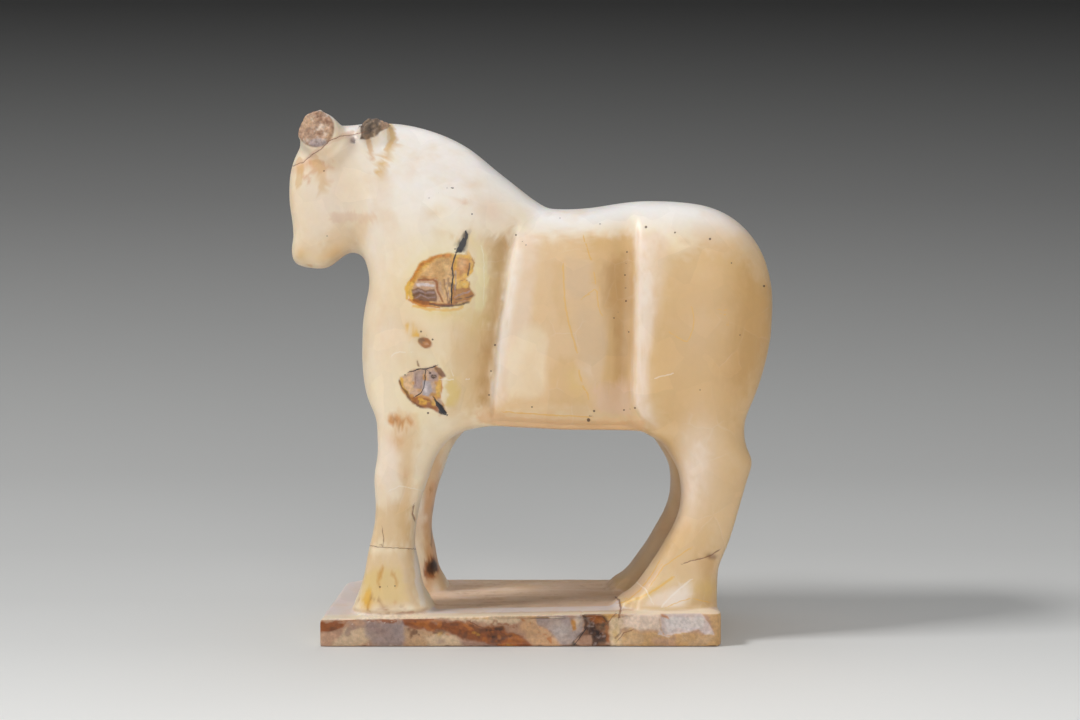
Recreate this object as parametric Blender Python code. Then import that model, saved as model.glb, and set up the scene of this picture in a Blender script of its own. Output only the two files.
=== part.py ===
"""A standing alabaster bull, carved in one with its low plinth.

The bull faces -X and stands on a plinth whose underside is z = 0, with the origin at the
underside's middle. Lengths are in metres. The figure is a free form: its tables are in
hundredths of its standing height, with heights counted from the plinth's top.
"""

import math

import bmesh
import bpy
import numpy as np

# Driving sizes of the figure and its plinth
STANDING_HEIGHT = 0.220
LEG_GAP = 0.016
FAR_FORELEG_SET_BACK = 0.0035
PLINTH_THICKNESS = 0.015
PLINTH_TOE_MARGIN = 0.013
PLINTH_SIDE_MARGIN = 0.0035
PLINTH_EDGE_ROUNDING = 0.0012
PLINTH_TOE_WEAR = 0.0032
PLINTH_TOE_WEAR_LENGTH = 0.030
PLINTH_FAR_SIDE_WEAR = 0.0012
SMALL_CORNER_RADIUS = 0.004
LARGE_CORNER_RADIUS = 0.011

# One hundredth of the standing height, the unit of every table below
UNIT = STANDING_HEIGHT / 100

# How square a section is: 2 is an ellipse, more is nearer to a box
NECK_SQUARENESS = 2.5
BACK_SQUARENESS = 2.7
BELLY_SQUARENESS = 11.0
LEG_SQUARENESS = 3.2

# Resolution of the carving
RING_POINTS = 48
RINGS_PER_LOFT = 90
RINGS_PER_STUMP = 30
CORNER_POINTS = 9
EDGE_SEGMENTS = 3
ROUND_PROFILE = 0.5
PLINTH_SECTIONS = 24
PLINTH_FLOOR_DEPTH = 0.005
VOXEL_SHARE = 0.0068
MOST_TRIANGLES = 8600
SHORTEST_EDGE = 0.00001

# Softening: the share of the way that a point moves in each step, and the number of steps.
# A blend between two masses reaches its full weight MEETING_FULL_AT of the way in from its rim.
SOFTENING_SHARE = 0.6
MEETING_STEPS = 60
MEETING_FULL_AT = 0.5
OVERALL_STEPS = 6

# Softening near the plinth, in hundredths: none below the first height, all of it a rise above
PLINTH_SOFTENING = 0.06
SOFTENING_START = 0.5
SOFTENING_RISE = 2.0

# The thickness at which a leg's inner face lies half a LEG_GAP from the middle, in hundredths
LEG_THICKNESS = 11.0

# The head and neck, from the forehead back to the withers.
# Each row: along the bull, underside, top, half width, and how much wider the top is.
HEAD_AND_NECK = (
    (-49.0, 82.0, 86.0, 1.6, 0.05),
    (-48.7, 79.0, 89.2, 3.8, 0.06),
    (-48.1, 75.0, 91.6, 5.2, 0.08),
    (-46.9, 71.0, 94.0, 6.4, 0.10),
    (-45.2, 69.5, 96.4, 7.2, 0.14),
    (-43.0, 69.2, 98.0, 7.8, 0.16),
    (-40.9, 69.7, 98.7, 8.3, 0.16),
    (-38.6, 71.1, 98.9, 8.7, 0.14),
    (-36.4, 72.4, 98.9, 9.2, 0.10),
    (-34.0, 72.0, 99.1, 9.9, 0.04),
    (-32.3, 68.2, 99.3, 10.6, -0.02),
    (-30.0, 61.4, 99.4, 11.6, -0.10),
    (-26.0, 54.0, 99.3, 13.0, -0.19),
    (-21.8, 49.0, 98.6, 14.1, -0.25),
    (-17.5, 47.0, 97.3, 14.7, -0.28),
    (-13.2, 50.0, 95.3, 14.6, -0.28),
    (-9.0, 56.0, 92.5, 13.9, -0.25),
    (-4.8, 62.0, 88.9, 12.8, -0.21),
    (-0.5, 66.0, 85.4, 11.6, -0.17),
    (3.6, 69.0, 82.4, 10.2, -0.12),
    (7.8, 70.5, 80.2, 8.4, -0.06),
    (12.5, 71.5, 77.6, 5.0, 0.0),
)

# The muzzle, a soft swelling at the end of the face, in the same columns.
MUZZLE = (
    (-48.5, 71.4, 74.2, 1.8, 0.0),
    (-48.1, 70.0, 75.4, 3.6, 0.0),
    (-46.9, 69.3, 76.4, 5.2, 0.0),
    (-44.5, 68.9, 77.4, 5.9, 0.0),
    (-42.0, 68.9, 78.0, 5.8, 0.0),
    (-39.5, 70.6, 77.0, 5.2, 0.0),
    (-37.5, 72.6, 75.6, 3.0, 0.0),
)

# The trunk, from the chest back to the rump, with the creases behind the shoulder and before the
# haunch. Each row: along the bull, underside, top, half width, and the lean of that section.
TRUNK = (
    (-33.4, 50.4, 56.4, 3.2, 0.0),
    (-32.9, 46.6, 60.4, 6.6, 0.0),
    (-31.9, 42.8, 64.6, 9.6, 0.0),
    (-30.2, 38.8, 69.6, 12.2, 0.0),
    (-27.8, 35.8, 74.2, 13.9, 0.0),
    (-24.5, 33.8, 77.6, 15.0, 0.02),
    (-20.4, 33.0, 80.0, 15.6, 0.05),
    (-15.4, 33.4, 81.8, 15.8, 0.08),
    (-10.6, 34.6, 82.6, 15.2, 0.11),
    (-6.8, 35.5, 82.5, 14.2, 0.12),
    (-3.9, 35.9, 82.1, 13.2, 0.13),
    (-2.7, 36.0, 81.9, 13.9, 0.13),
    (0.2, 35.9, 81.6, 14.8, 0.11),
    (4.0, 35.7, 81.3, 15.2, 0.08),
    (8.4, 35.4, 81.2, 15.3, 0.06),
    (13.6, 35.3, 81.5, 14.9, 0.04),
    (18.4, 35.2, 82.2, 14.2, 0.03),
    (21.9, 35.1, 82.7, 13.4, 0.03),
    (23.1, 35.1, 82.8, 14.1, 0.03),
    (25.8, 35.0, 82.9, 15.0, 0.02),
    (29.1, 34.5, 82.9, 15.5, 0.0),
    (33.6, 34.0, 82.6, 15.8, 0.0),
    (37.8, 33.8, 82.0, 15.8, 0.0),
    (41.3, 34.4, 80.8, 15.4, 0.0),
    (44.4, 36.6, 78.9, 14.6, 0.0),
    (46.9, 40.4, 76.6, 13.4, 0.0),
    (49.0, 45.4, 73.8, 11.8, 0.0),
    (50.6, 51.2, 70.4, 9.4, 0.0),
    (51.5, 56.4, 67.2, 6.6, 0.0),
    (51.9, 60.4, 64.2, 3.2, 0.0),
)

# The legs, from the body down into the plinth.
# Each row: height, front edge, back edge, thickness across.
FRONT_LEG = (
    (54.0, -26.0, -17.0, 9.0),
    (46.0, -28.3, -14.4, 11.2),
    (40.0, -29.3, -12.8, 12.0),
    (34.4, -29.2, -14.0, 12.0),
    (31.0, -29.1, -16.7, 11.7),
    (28.7, -29.4, -18.0, 11.3),
    (26.5, -29.8, -18.7, 10.9),
    (21.6, -29.6, -20.4, 10.2),
    (16.9, -29.8, -21.4, 9.8),
    (13.6, -30.5, -21.8, 9.8),
    (11.2, -31.1, -21.8, 10.0),
    (8.7, -31.5, -21.2, 10.4),
    (5.9, -32.0, -20.7, 11.0),
    (2.7, -33.0, -19.8, 12.0),
    (0.7, -33.8, -18.6, 12.6),
    (-3.2, -34.6, -17.8, 12.8),
)
HIND_LEG = (
    (58.0, 35.0, 46.5, 8.0),
    (50.0, 31.5, 47.4, 10.0),
    (42.3, 27.6, 46.4, 11.6),
    (38.2, 25.8, 45.6, 12.2),
    (35.0, 24.9, 45.2, 12.4),
    (33.2, 27.9, 45.3, 12.4),
    (31.2, 29.6, 46.0, 12.2),
    (29.1, 30.9, 46.8, 11.9),
    (27.1, 31.9, 46.4, 11.6),
    (23.0, 32.6, 45.1, 11.0),
    (18.9, 32.2, 43.9, 10.6),
    (14.9, 30.6, 42.7, 10.4),
    (11.8, 28.8, 41.6, 10.5),
    (9.1, 27.2, 40.4, 10.8),
    (7.5, 26.1, 39.9, 11.0),
    (4.5, 24.0, 39.7, 11.8),
    (2.0, 21.6, 39.6, 12.6),
    (0.5, 19.2, 39.6, 13.0),
    (-3.2, 17.6, 39.6, 13.0),
)

# Where two masses of the body flow into each other, seen from the side.
# Each row: along the bull, height, and how far the blend reaches along and up.
MEETINGS = (
    (-20.0, 67.0, 15.0, 19.0),
    (-22.0, 44.0, 10.0, 14.0),
    (-15.0, 35.0, 7.0, 5.0),
    (39.0, 45.0, 14.0, 17.0),
    (-33.0, 71.0, 4.0, 5.0),
    (-42.0, 79.0, 8.0, 6.0),
)

# The broken horn stumps, from the brow outwards to the break.
# Each row: across the bull, along it, height, radius.
HORN = (
    (2.0, -40.4, 92.2, 6.2),
    (4.6, -40.7, 93.6, 5.5),
    (6.9, -41.0, 94.9, 4.8),
    (8.9, -41.3, 95.8, 4.3),
    (10.6, -41.5, 96.2, 4.0),
)

# The broken ear stumps, low swellings behind the horns, in the same columns.
EAR = (
    (3.6, -29.6, 93.2, 5.0),
    (6.2, -30.0, 94.8, 4.0),
    (8.2, -30.4, 96.2, 3.1),
    (9.4, -30.8, 96.9, 2.4),
)

# The tail, lying on the rump. Each row: along the bull, height, half width, depth.
TAIL = (
    (45.8, 76.8, 1.6, 2.4),
    (49.2, 72.4, 1.8, 2.6),
    (51.3, 66.6, 1.7, 2.6),
    (51.8, 60.0, 1.6, 2.6),
    (50.6, 51.6, 1.6, 2.6),
    (48.6, 44.6, 1.9, 2.8),
    (46.9, 38.6, 2.1, 3.0),
    (45.6, 34.6, 1.4, 3.0),
)

ALABASTER_COLOUR = (0.80, 0.62, 0.42, 1.0)
ALABASTER_ROUGHNESS = 0.28


def clear_scene():
    for obj in list(bpy.data.objects):
        bpy.data.objects.remove(obj, do_unlink=True)


def spline_rows(rows, count):
    """Rows read along a natural cubic spline through the table, even along its length."""
    rows = np.array(rows, float)
    steps = np.linalg.norm(np.diff(rows, axis=0), axis=1)
    at = np.concatenate([[0.0], np.cumsum(steps)])
    size = len(rows)
    system = np.zeros((size, size))
    slopes = np.diff(rows, axis=0) / steps[:, None]
    pull = np.zeros_like(rows)
    system[0, 0] = system[-1, -1] = 1.0
    for i in range(1, size - 1):
        system[i, i - 1 : i + 2] = steps[i - 1], 2 * (steps[i - 1] + steps[i]), steps[i]
        pull[i] = 6 * (slopes[i] - slopes[i - 1])
    bend = np.linalg.solve(system, pull)
    where = np.linspace(0.0, at[-1], count)
    i = np.clip(np.searchsorted(at, where, side="right") - 1, 0, size - 2)
    step = steps[i][:, None]
    after = (where - at[i])[:, None]
    before = step - after
    return (
        bend[i] * before**3 / (6 * step)
        + bend[i + 1] * after**3 / (6 * step)
        + (rows[i] / step - bend[i] * step / 6) * before
        + (rows[i + 1] / step - bend[i + 1] * step / 6) * after
    )


def rounded_wave(wave, power):
    """A sine or cosine pushed outwards, so that a ring becomes a rounded box as power grows."""
    return np.sign(wave) * np.abs(wave) ** (2 / power)


def ring_angles():
    return np.linspace(0.0, 2 * math.pi, RING_POINTS, endpoint=False)


def loft(rings):
    """A closed skin over a list of rings of points, bridged one to the next and capped."""
    shell = bmesh.new()
    edge_loops = []
    for ring in rings:
        verts = [shell.verts.new(point) for point in ring]
        pairs = zip(verts, verts[1:] + verts[:1])
        edge_loops.append([shell.edges.new(pair) for pair in pairs])
    for first, second in zip(edge_loops, edge_loops[1:]):
        bmesh.ops.bridge_loops(shell, edges=first + second)
    bmesh.ops.holes_fill(shell, edges=edge_loops[0] + edge_loops[-1], sides=0)
    bmesh.ops.recalc_face_normals(shell, faces=shell.faces)
    mesh = bpy.data.meshes.new("loft")
    shell.to_mesh(mesh)
    shell.free()
    return mesh


def placed(x, y, z):
    """Points in hundredths of the standing height, in metres above the plinth."""
    return np.column_stack([x * UNIT, y * UNIT, z * UNIT + PLINTH_THICKNESS])


def neck_mesh(table):
    """Upright sections of the head or the neck, each in the plane across the bull."""
    angle = ring_angles()
    up = np.sin(angle)
    rings = []
    for along, low, high, half_width, flare in spline_rows(table, RINGS_PER_LOFT):
        rise = rounded_wave(up, NECK_SQUARENESS) * (high - low) / 2
        y = rounded_wave(np.cos(angle), NECK_SQUARENESS) * half_width * (1 + flare * up)
        rings.append(placed(np.full_like(y, along), y, (high + low) / 2 + rise))
    return loft(rings)


def trunk_mesh():
    """Sections of the trunk, round above and square below, which lean as the creases do."""
    angle = ring_angles()
    up = np.sin(angle)
    power = np.where(up > 0, BACK_SQUARENESS, BELLY_SQUARENESS)
    rings = []
    for along, low, high, half_width, lean in spline_rows(TRUNK, RINGS_PER_LOFT):
        rise = rounded_wave(up, power) * (high - low) / 2
        y = rounded_wave(np.cos(angle), power) * half_width
        rings.append(placed(along + lean * rise, y, (high + low) / 2 + rise))
    return loft(rings)


def leg_mesh(table, side, set_back=0.0):
    """One leg as level rings, its inner face half a LEG_GAP from the middle."""
    angle = ring_angles()
    axis = LEG_GAP / 2 / UNIT + LEG_THICKNESS / 2
    rings = []
    for height, front, back, thickness in spline_rows(table, RINGS_PER_LOFT):
        reach = rounded_wave(np.cos(angle), LEG_SQUARENESS) * (back - front) / 2
        spread = rounded_wave(np.sin(angle), LEG_SQUARENESS) * thickness / 2
        x = (front + back) / 2 + set_back / UNIT + reach
        rings.append(placed(x, side * (axis + spread), np.full_like(x, height)))
    return loft(rings)


def stump_mesh(table, side):
    """A round stump of changing radius that points out to one side."""
    angle = ring_angles()
    rings = []
    for across, along, height, radius in spline_rows(table, RINGS_PER_STUMP):
        x = along + radius * np.cos(angle)
        z = height + radius * np.sin(angle)
        rings.append(placed(x, np.full_like(x, side * across), z))
    return loft(rings)


def tail_mesh():
    """A soft cord down the middle of the rump, half sunk in it."""
    angle = ring_angles()
    rows = spline_rows(TAIL, RINGS_PER_LOFT)
    ahead = np.gradient(rows[:, :2], axis=0)
    ahead /= np.linalg.norm(ahead, axis=1)[:, None]
    rings = []
    for (along, height, half_width, depth), (run, fall) in zip(rows, ahead):
        x = along + np.sin(angle) * depth / 2 * -fall
        z = height + np.sin(angle) * depth / 2 * run
        rings.append(placed(x, np.cos(angle) * half_width, z))
    return loft(rings)


def plinth_ends():
    """The plinth's front and back ends: it runs past the toes and ends with the heels."""
    toe = min(front for height, front, back, thickness in FRONT_LEG if height > 0)
    heel = HIND_LEG[-1][2]
    return toe * UNIT - PLINTH_TOE_MARGIN, heel * UNIT


def plinth_half_depth():
    """Half the plinth's depth: it runs a side margin past the widest foot."""
    widest = max(thickness for height, front, back, thickness in HIND_LEG)
    return LEG_GAP / 2 + (LEG_THICKNESS + widest) / 2 * UNIT + PLINTH_SIDE_MARGIN


def rounded_corner(x, y, radius, first_angle):
    """Points on a quarter circle inside the corner at (x, y)."""
    centre_x = x - math.copysign(radius, x)
    centre_y = y - math.copysign(radius, y)
    turns = np.linspace(first_angle, first_angle + math.pi / 2, CORNER_POINTS)
    return [(centre_x + radius * math.cos(t), centre_y + radius * math.sin(t)) for t in turns]


def plinth_outline():
    """The plinth seen from above, with its far front corner well rounded."""
    front, back = plinth_ends()
    half = plinth_half_depth()
    outline = rounded_corner(back, -half, SMALL_CORNER_RADIUS, -math.pi / 2)
    outline += rounded_corner(back, half, SMALL_CORNER_RADIUS, 0.0)
    outline += rounded_corner(front, half, LARGE_CORNER_RADIUS, math.pi / 2)
    outline += rounded_corner(front, -half, SMALL_CORNER_RADIUS / 2, math.pi)
    return outline


def wear_down(slab):
    """Lowers the slab's top along its near front end and a little along its far side."""
    front = plinth_ends()[0]
    depth = 2 * plinth_half_depth()
    for vert in slab.verts:
        if vert.co.z > PLINTH_THICKNESS / 2:
            near_toe = max(0.0, 1 - (vert.co.x - front) / PLINTH_TOE_WEAR_LENGTH)
            far_side = 0.5 + vert.co.y / depth
            vert.co.z -= PLINTH_TOE_WEAR * near_toe**2 * (1 - far_side)
            vert.co.z -= PLINTH_FAR_SIDE_WEAR * far_side


def plinth_mesh():
    """A slab with worn edges, which starts below z = 0 so that the last cut leaves it flat."""
    slab = bmesh.new()
    corners = [slab.verts.new((x, y, -PLINTH_FLOOR_DEPTH)) for x, y in plinth_outline()]
    base = slab.faces.new(corners)
    grown = bmesh.ops.extrude_face_region(slab, geom=[base])["geom"]
    top = [item for item in grown if isinstance(item, bmesh.types.BMVert)]
    bmesh.ops.translate(slab, verts=top, vec=(0, 0, PLINTH_THICKNESS + PLINTH_FLOOR_DEPTH))
    bmesh.ops.recalc_face_normals(slab, faces=slab.faces)
    rim = [edge for edge in slab.edges if all(vert in top for vert in edge.verts)]
    bmesh.ops.bevel(
        slab,
        geom=rim,
        offset=PLINTH_EDGE_ROUNDING,
        segments=EDGE_SEGMENTS,
        profile=ROUND_PROFILE,
        affect="EDGES",
    )
    front, back = plinth_ends()
    for x in np.linspace(front, back, PLINTH_SECTIONS + 1)[1:-1]:
        bmesh.ops.bisect_plane(
            slab,
            geom=slab.verts[:] + slab.edges[:] + slab.faces[:],
            plane_co=(x, 0, 0),
            plane_no=(1, 0, 0),
        )
    wear_down(slab)
    mesh = bpy.data.meshes.new("plinth_slab")
    slab.to_mesh(mesh)
    slab.free()
    return mesh


def joined(meshes):
    """One object that holds all the rough shapes, still overlapping."""
    rough = bmesh.new()
    for mesh in meshes:
        rough.from_mesh(mesh)
        bpy.data.meshes.remove(mesh)
    whole = bpy.data.meshes.new("bull_on_plinth")
    rough.to_mesh(whole)
    rough.free()
    carving = bpy.data.objects.new("bull_on_plinth", whole)
    bpy.context.scene.collection.objects.link(carving)
    return carving


def apply_modifiers(carving):
    """Replaces the carving's mesh by what its modifiers make of it."""
    graph = bpy.context.evaluated_depsgraph_get()
    made = bpy.data.meshes.new_from_object(carving.evaluated_get(graph), depsgraph=graph)
    carving.modifiers.clear()
    old = carving.data
    carving.data = made
    bpy.data.meshes.remove(old)


def fuse(carving):
    """Makes one closed skin of the overlapping shapes."""
    remesh = carving.modifiers.new("fuse", "REMESH")
    remesh.mode = "VOXEL"
    remesh.voxel_size = VOXEL_SHARE * STANDING_HEIGHT
    apply_modifiers(carving)


def smooth_where(carving, name, weights, steps):
    """Smooths the skin by the weight of each of its points."""
    group = carving.vertex_groups.new(name=name)
    for index, weight in enumerate(weights):
        group.add([index], float(weight), "REPLACE")
    smooth = carving.modifiers.new(name, "SMOOTH")
    smooth.vertex_group = group.name
    smooth.factor = SOFTENING_SHARE
    smooth.iterations = steps
    apply_modifiers(carving)


def soften(carving):
    """Blends the bull's masses where they meet, and leaves the plinth's edges crisp."""
    points = np.array([vert.co for vert in carving.data.vertices])
    along = points[:, 0] / UNIT
    above = (points[:, 2] - PLINTH_THICKNESS) / UNIT
    meeting = np.zeros(len(points))
    for x, z, reach_x, reach_z in MEETINGS:
        inside = 1 - ((along - x) / reach_x) ** 2 - ((above - z) / reach_z) ** 2
        meeting = np.maximum(meeting, np.clip(inside / MEETING_FULL_AT, 0, 1))
    smooth_where(carving, "meetings", meeting, MEETING_STEPS)
    overall = np.clip((above - SOFTENING_START) / SOFTENING_RISE, PLINTH_SOFTENING, 1)
    smooth_where(carving, "overall", overall, OVERALL_STEPS)


def lighten(carving):
    """Brings the skin down to MOST_TRIANGLES, with the most left where it curves."""
    triangles = sum(len(face.vertices) - 2 for face in carving.data.polygons)
    decimate = carving.modifiers.new("lighten", "DECIMATE")
    decimate.ratio = MOST_TRIANGLES / triangles
    apply_modifiers(carving)


def cut_flat_below(carving):
    """Cuts the carving at z = 0, so that it stands on one flat face."""
    body = bmesh.new()
    body.from_mesh(carving.data)
    bmesh.ops.bisect_plane(
        body,
        geom=body.verts[:] + body.edges[:] + body.faces[:],
        plane_co=(0, 0, 0),
        plane_no=(0, 0, 1),
        clear_inner=True,
    )
    bmesh.ops.dissolve_degenerate(body, dist=SHORTEST_EDGE, edges=body.edges[:])
    rim = [edge for edge in body.edges if edge.is_boundary]
    bmesh.ops.holes_fill(body, edges=rim, sides=0)
    bmesh.ops.recalc_face_normals(body, faces=body.faces)
    bmesh.ops.triangulate(body, faces=body.faces)
    body.to_mesh(carving.data)
    body.free()


def alabaster():
    stone = bpy.data.materials.new("alabaster")
    stone.use_nodes = True
    shader = stone.node_tree.nodes["Principled BSDF"]
    shader.inputs["Base Color"].default_value = ALABASTER_COLOUR
    shader.inputs["Roughness"].default_value = ALABASTER_ROUGHNESS
    return stone


def build():
    clear_scene()
    rough = [plinth_mesh(), neck_mesh(HEAD_AND_NECK), neck_mesh(MUZZLE), trunk_mesh(), tail_mesh()]
    rough += [leg_mesh(FRONT_LEG, -1), leg_mesh(FRONT_LEG, 1, FAR_FORELEG_SET_BACK)]
    for side in (-1, 1):
        rough += [leg_mesh(HIND_LEG, side), stump_mesh(HORN, side), stump_mesh(EAR, side)]
    carving = joined(rough)
    fuse(carving)
    soften(carving)
    lighten(carving)
    cut_flat_below(carving)
    carving.data.materials.append(alabaster())
    carving.data.shade_smooth()


build()
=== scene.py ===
# %% [markdown]
# # A carved alabaster bull
# The object is a small bull, carved with its low plinth from one block of alabaster. The stone is
# soft and lets some light in, so the carver left broad, rounded masses and polished them. This
# lesson builds the stone's form with numpy, cuts its damage into it, paints its veins and patches
# on its points, and lights it as a museum photographer would. It starts with the measured solid.

import math

import bpy
import numpy as np
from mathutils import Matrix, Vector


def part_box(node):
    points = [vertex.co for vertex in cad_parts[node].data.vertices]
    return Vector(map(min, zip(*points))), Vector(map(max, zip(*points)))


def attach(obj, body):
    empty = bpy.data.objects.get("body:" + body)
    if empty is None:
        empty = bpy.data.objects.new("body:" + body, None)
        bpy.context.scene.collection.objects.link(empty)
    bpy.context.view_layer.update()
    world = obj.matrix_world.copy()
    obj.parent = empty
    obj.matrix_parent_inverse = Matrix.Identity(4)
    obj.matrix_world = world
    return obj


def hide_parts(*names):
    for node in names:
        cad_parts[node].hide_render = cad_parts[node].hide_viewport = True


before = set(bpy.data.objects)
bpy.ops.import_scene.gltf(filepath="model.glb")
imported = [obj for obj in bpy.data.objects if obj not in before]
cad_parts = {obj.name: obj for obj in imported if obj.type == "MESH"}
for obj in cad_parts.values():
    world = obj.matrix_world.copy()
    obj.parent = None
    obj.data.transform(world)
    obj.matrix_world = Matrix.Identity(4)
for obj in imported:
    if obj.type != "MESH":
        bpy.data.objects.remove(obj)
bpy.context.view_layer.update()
block_low, block_high = (np.array(corner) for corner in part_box("bull_on_plinth"))
print("the block measures", np.round((block_high - block_low) * 1000, 1), "mm")

# %% [markdown]
# ## The units of the tables
# A free form has no drawing with round sizes. Its sections are given in hundredths of the bull's
# own standing height, so that the tables read like a sculptor's proportions. Marks on the stone
# are given in millimetres.

# %% Units
MM = 0.001
STANDING_HEIGHT = 0.220
PLINTH_TOP = 0.015
UNIT = STANDING_HEIGHT / 100

# %% [markdown]
# ## Where the picture is taken from
# The camera stands level with the bull's shoulder, half a metre from its middle plane, and looks
# straight across it. The same point is used again below: marks on the near side are placed on a
# sheet that is held upright just before the flank, as if they were traced from that eye.

# %% Camera
EYE = np.array([0.0082, -0.5138, 0.1307])
LENS = 36.67
LENS_DROP = -0.0139

camera = bpy.data.objects.new("museum_camera", bpy.data.cameras.new("museum_camera"))
bpy.context.scene.collection.objects.link(camera)
camera.location = EYE
camera.rotation_euler = (math.radians(90), 0, 0)
camera.data.lens = LENS
camera.data.shift_y = LENS_DROP
camera.data.clip_start = 0.01
bpy.context.scene.camera = camera

# %% [markdown]
# ## Sections of the figure
# Each table lists upright or level sections of one mass, in hundredths of the standing height.
# A mass could be sculpted from a sphere, but a table of sections keeps the outline exact.

# %% Tables of sections
# along, underside, top, half width, and how much wider it grows towards its top
HEAD_AND_NECK = (
    (-49.0, 82.0, 86.0, 1.6, 0.05),
    (-48.7, 79.0, 89.2, 3.8, 0.06),
    (-48.1, 75.0, 91.6, 5.2, 0.08),
    (-46.9, 71.0, 94.0, 6.4, 0.10),
    (-45.2, 69.5, 96.4, 7.2, 0.14),
    (-43.0, 69.2, 98.0, 7.8, 0.16),
    (-40.9, 69.7, 98.7, 8.3, 0.16),
    (-38.6, 71.1, 98.9, 8.7, 0.14),
    (-36.4, 72.4, 98.9, 9.2, 0.10),
    (-34.0, 72.0, 99.1, 9.9, 0.04),
    (-32.3, 68.2, 99.3, 10.6, -0.02),
    (-30.0, 61.4, 99.4, 11.6, -0.10),
    (-26.0, 54.0, 99.3, 13.0, -0.19),
    (-21.8, 49.0, 98.6, 14.1, -0.25),
    (-17.5, 47.0, 97.3, 14.7, -0.28),
    (-13.2, 50.0, 95.3, 14.6, -0.28),
    (-9.0, 56.0, 92.5, 13.9, -0.25),
    (-4.8, 62.0, 88.9, 12.8, -0.21),
    (-0.5, 66.0, 85.4, 11.6, -0.17),
    (3.6, 69.0, 82.4, 10.2, -0.12),
    (7.8, 70.5, 80.2, 8.4, -0.06),
    (12.5, 71.5, 77.6, 5.0, 0.0),
)
MUZZLE = (
    (-48.5, 71.4, 74.2, 1.8, 0.0),
    (-48.1, 70.0, 75.4, 3.6, 0.0),
    (-46.9, 69.3, 76.4, 5.2, 0.0),
    (-44.5, 68.9, 77.4, 5.9, 0.0),
    (-42.0, 68.9, 78.0, 5.8, 0.0),
    (-39.5, 70.6, 77.0, 5.2, 0.0),
    (-37.5, 72.6, 75.6, 3.0, 0.0),
)
# along, underside, top, half width, lean
TRUNK = (
    (-33.4, 50.4, 56.4, 3.2, 0.0),
    (-32.9, 46.6, 60.4, 6.6, 0.0),
    (-31.9, 42.8, 64.6, 9.6, 0.0),
    (-30.2, 38.8, 69.6, 12.2, 0.0),
    (-27.8, 35.8, 74.2, 13.9, 0.0),
    (-24.5, 33.8, 77.6, 15.0, 0.02),
    (-20.4, 33.0, 80.0, 15.6, 0.05),
    (-15.4, 33.4, 81.8, 15.8, 0.08),
    (-10.6, 34.6, 82.6, 15.2, 0.11),
    (-6.8, 35.5, 82.5, 14.2, 0.12),
    (-3.9, 35.9, 82.1, 13.2, 0.13),
    (-2.7, 36.0, 81.9, 13.9, 0.13),
    (0.2, 35.9, 81.6, 14.8, 0.11),
    (4.0, 35.7, 81.3, 15.2, 0.08),
    (8.4, 35.4, 81.2, 15.3, 0.06),
    (13.6, 35.3, 81.5, 14.9, 0.04),
    (18.4, 35.2, 82.2, 14.2, 0.03),
    (21.9, 35.1, 82.7, 13.4, 0.03),
    (23.1, 35.1, 82.8, 14.1, 0.03),
    (25.8, 35.0, 82.9, 15.0, 0.02),
    (29.1, 34.5, 82.9, 15.5, 0.0),
    (33.6, 34.0, 82.6, 15.8, 0.0),
    (37.8, 33.8, 82.0, 15.8, 0.0),
    (41.3, 34.4, 80.8, 15.4, 0.0),
    (44.4, 36.6, 78.9, 14.6, 0.0),
    (46.9, 40.4, 76.6, 13.4, 0.0),
    (49.0, 45.4, 73.8, 11.8, 0.0),
    (50.6, 51.2, 70.4, 9.4, 0.0),
    (51.5, 56.4, 67.2, 6.6, 0.0),
    (51.9, 60.4, 64.2, 3.2, 0.0),
)
# height, front edge, back edge, thickness across
FRONT_LEG = (
    (54.0, -26.0, -17.0, 9.0),
    (46.0, -28.3, -14.4, 11.2),
    (40.0, -29.3, -12.8, 12.0),
    (34.4, -29.2, -14.0, 12.0),
    (31.0, -29.1, -16.7, 11.7),
    (28.7, -29.4, -18.0, 11.3),
    (26.5, -29.8, -18.7, 10.9),
    (21.6, -29.6, -20.4, 10.2),
    (16.9, -29.8, -21.4, 9.8),
    (13.6, -30.5, -21.8, 9.8),
    (11.2, -31.1, -21.8, 10.0),
    (8.7, -31.5, -21.2, 10.4),
    (5.9, -32.0, -20.7, 11.0),
    (2.7, -33.0, -19.8, 12.0),
    (0.7, -33.8, -18.6, 12.6),
    (-3.2, -34.6, -17.8, 12.8),
)
HIND_LEG = (
    (58.0, 35.0, 46.5, 8.0),
    (50.0, 31.5, 47.4, 10.0),
    (42.3, 27.6, 46.4, 11.6),
    (38.2, 25.8, 45.6, 12.2),
    (35.0, 24.9, 45.2, 12.4),
    (33.2, 27.9, 45.3, 12.4),
    (31.2, 29.6, 46.0, 12.2),
    (29.1, 30.9, 46.8, 11.9),
    (27.1, 31.9, 46.4, 11.6),
    (23.0, 32.6, 45.1, 11.0),
    (18.9, 32.2, 43.9, 10.6),
    (14.9, 30.6, 42.7, 10.4),
    (11.8, 28.8, 41.6, 10.5),
    (9.1, 27.2, 40.4, 10.8),
    (7.5, 26.1, 39.9, 11.0),
    (4.5, 24.0, 39.7, 11.8),
    (2.0, 21.6, 39.6, 12.6),
    (0.5, 19.2, 39.6, 13.0),
    (-3.2, 17.6, 39.6, 13.0),
)
# across, along, height, radius
HORN = (
    (2.0, -40.4, 92.2, 6.2),
    (4.6, -40.7, 93.6, 5.5),
    (6.9, -41.0, 94.9, 4.8),
    (8.9, -41.3, 95.8, 4.3),
    (10.6, -41.5, 96.2, 4.0),
)
EAR = (
    (3.6, -29.6, 93.2, 5.0),
    (6.2, -30.0, 94.8, 4.0),
    (8.2, -30.4, 96.2, 3.1),
    (9.4, -30.8, 96.9, 2.4),
)
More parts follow.
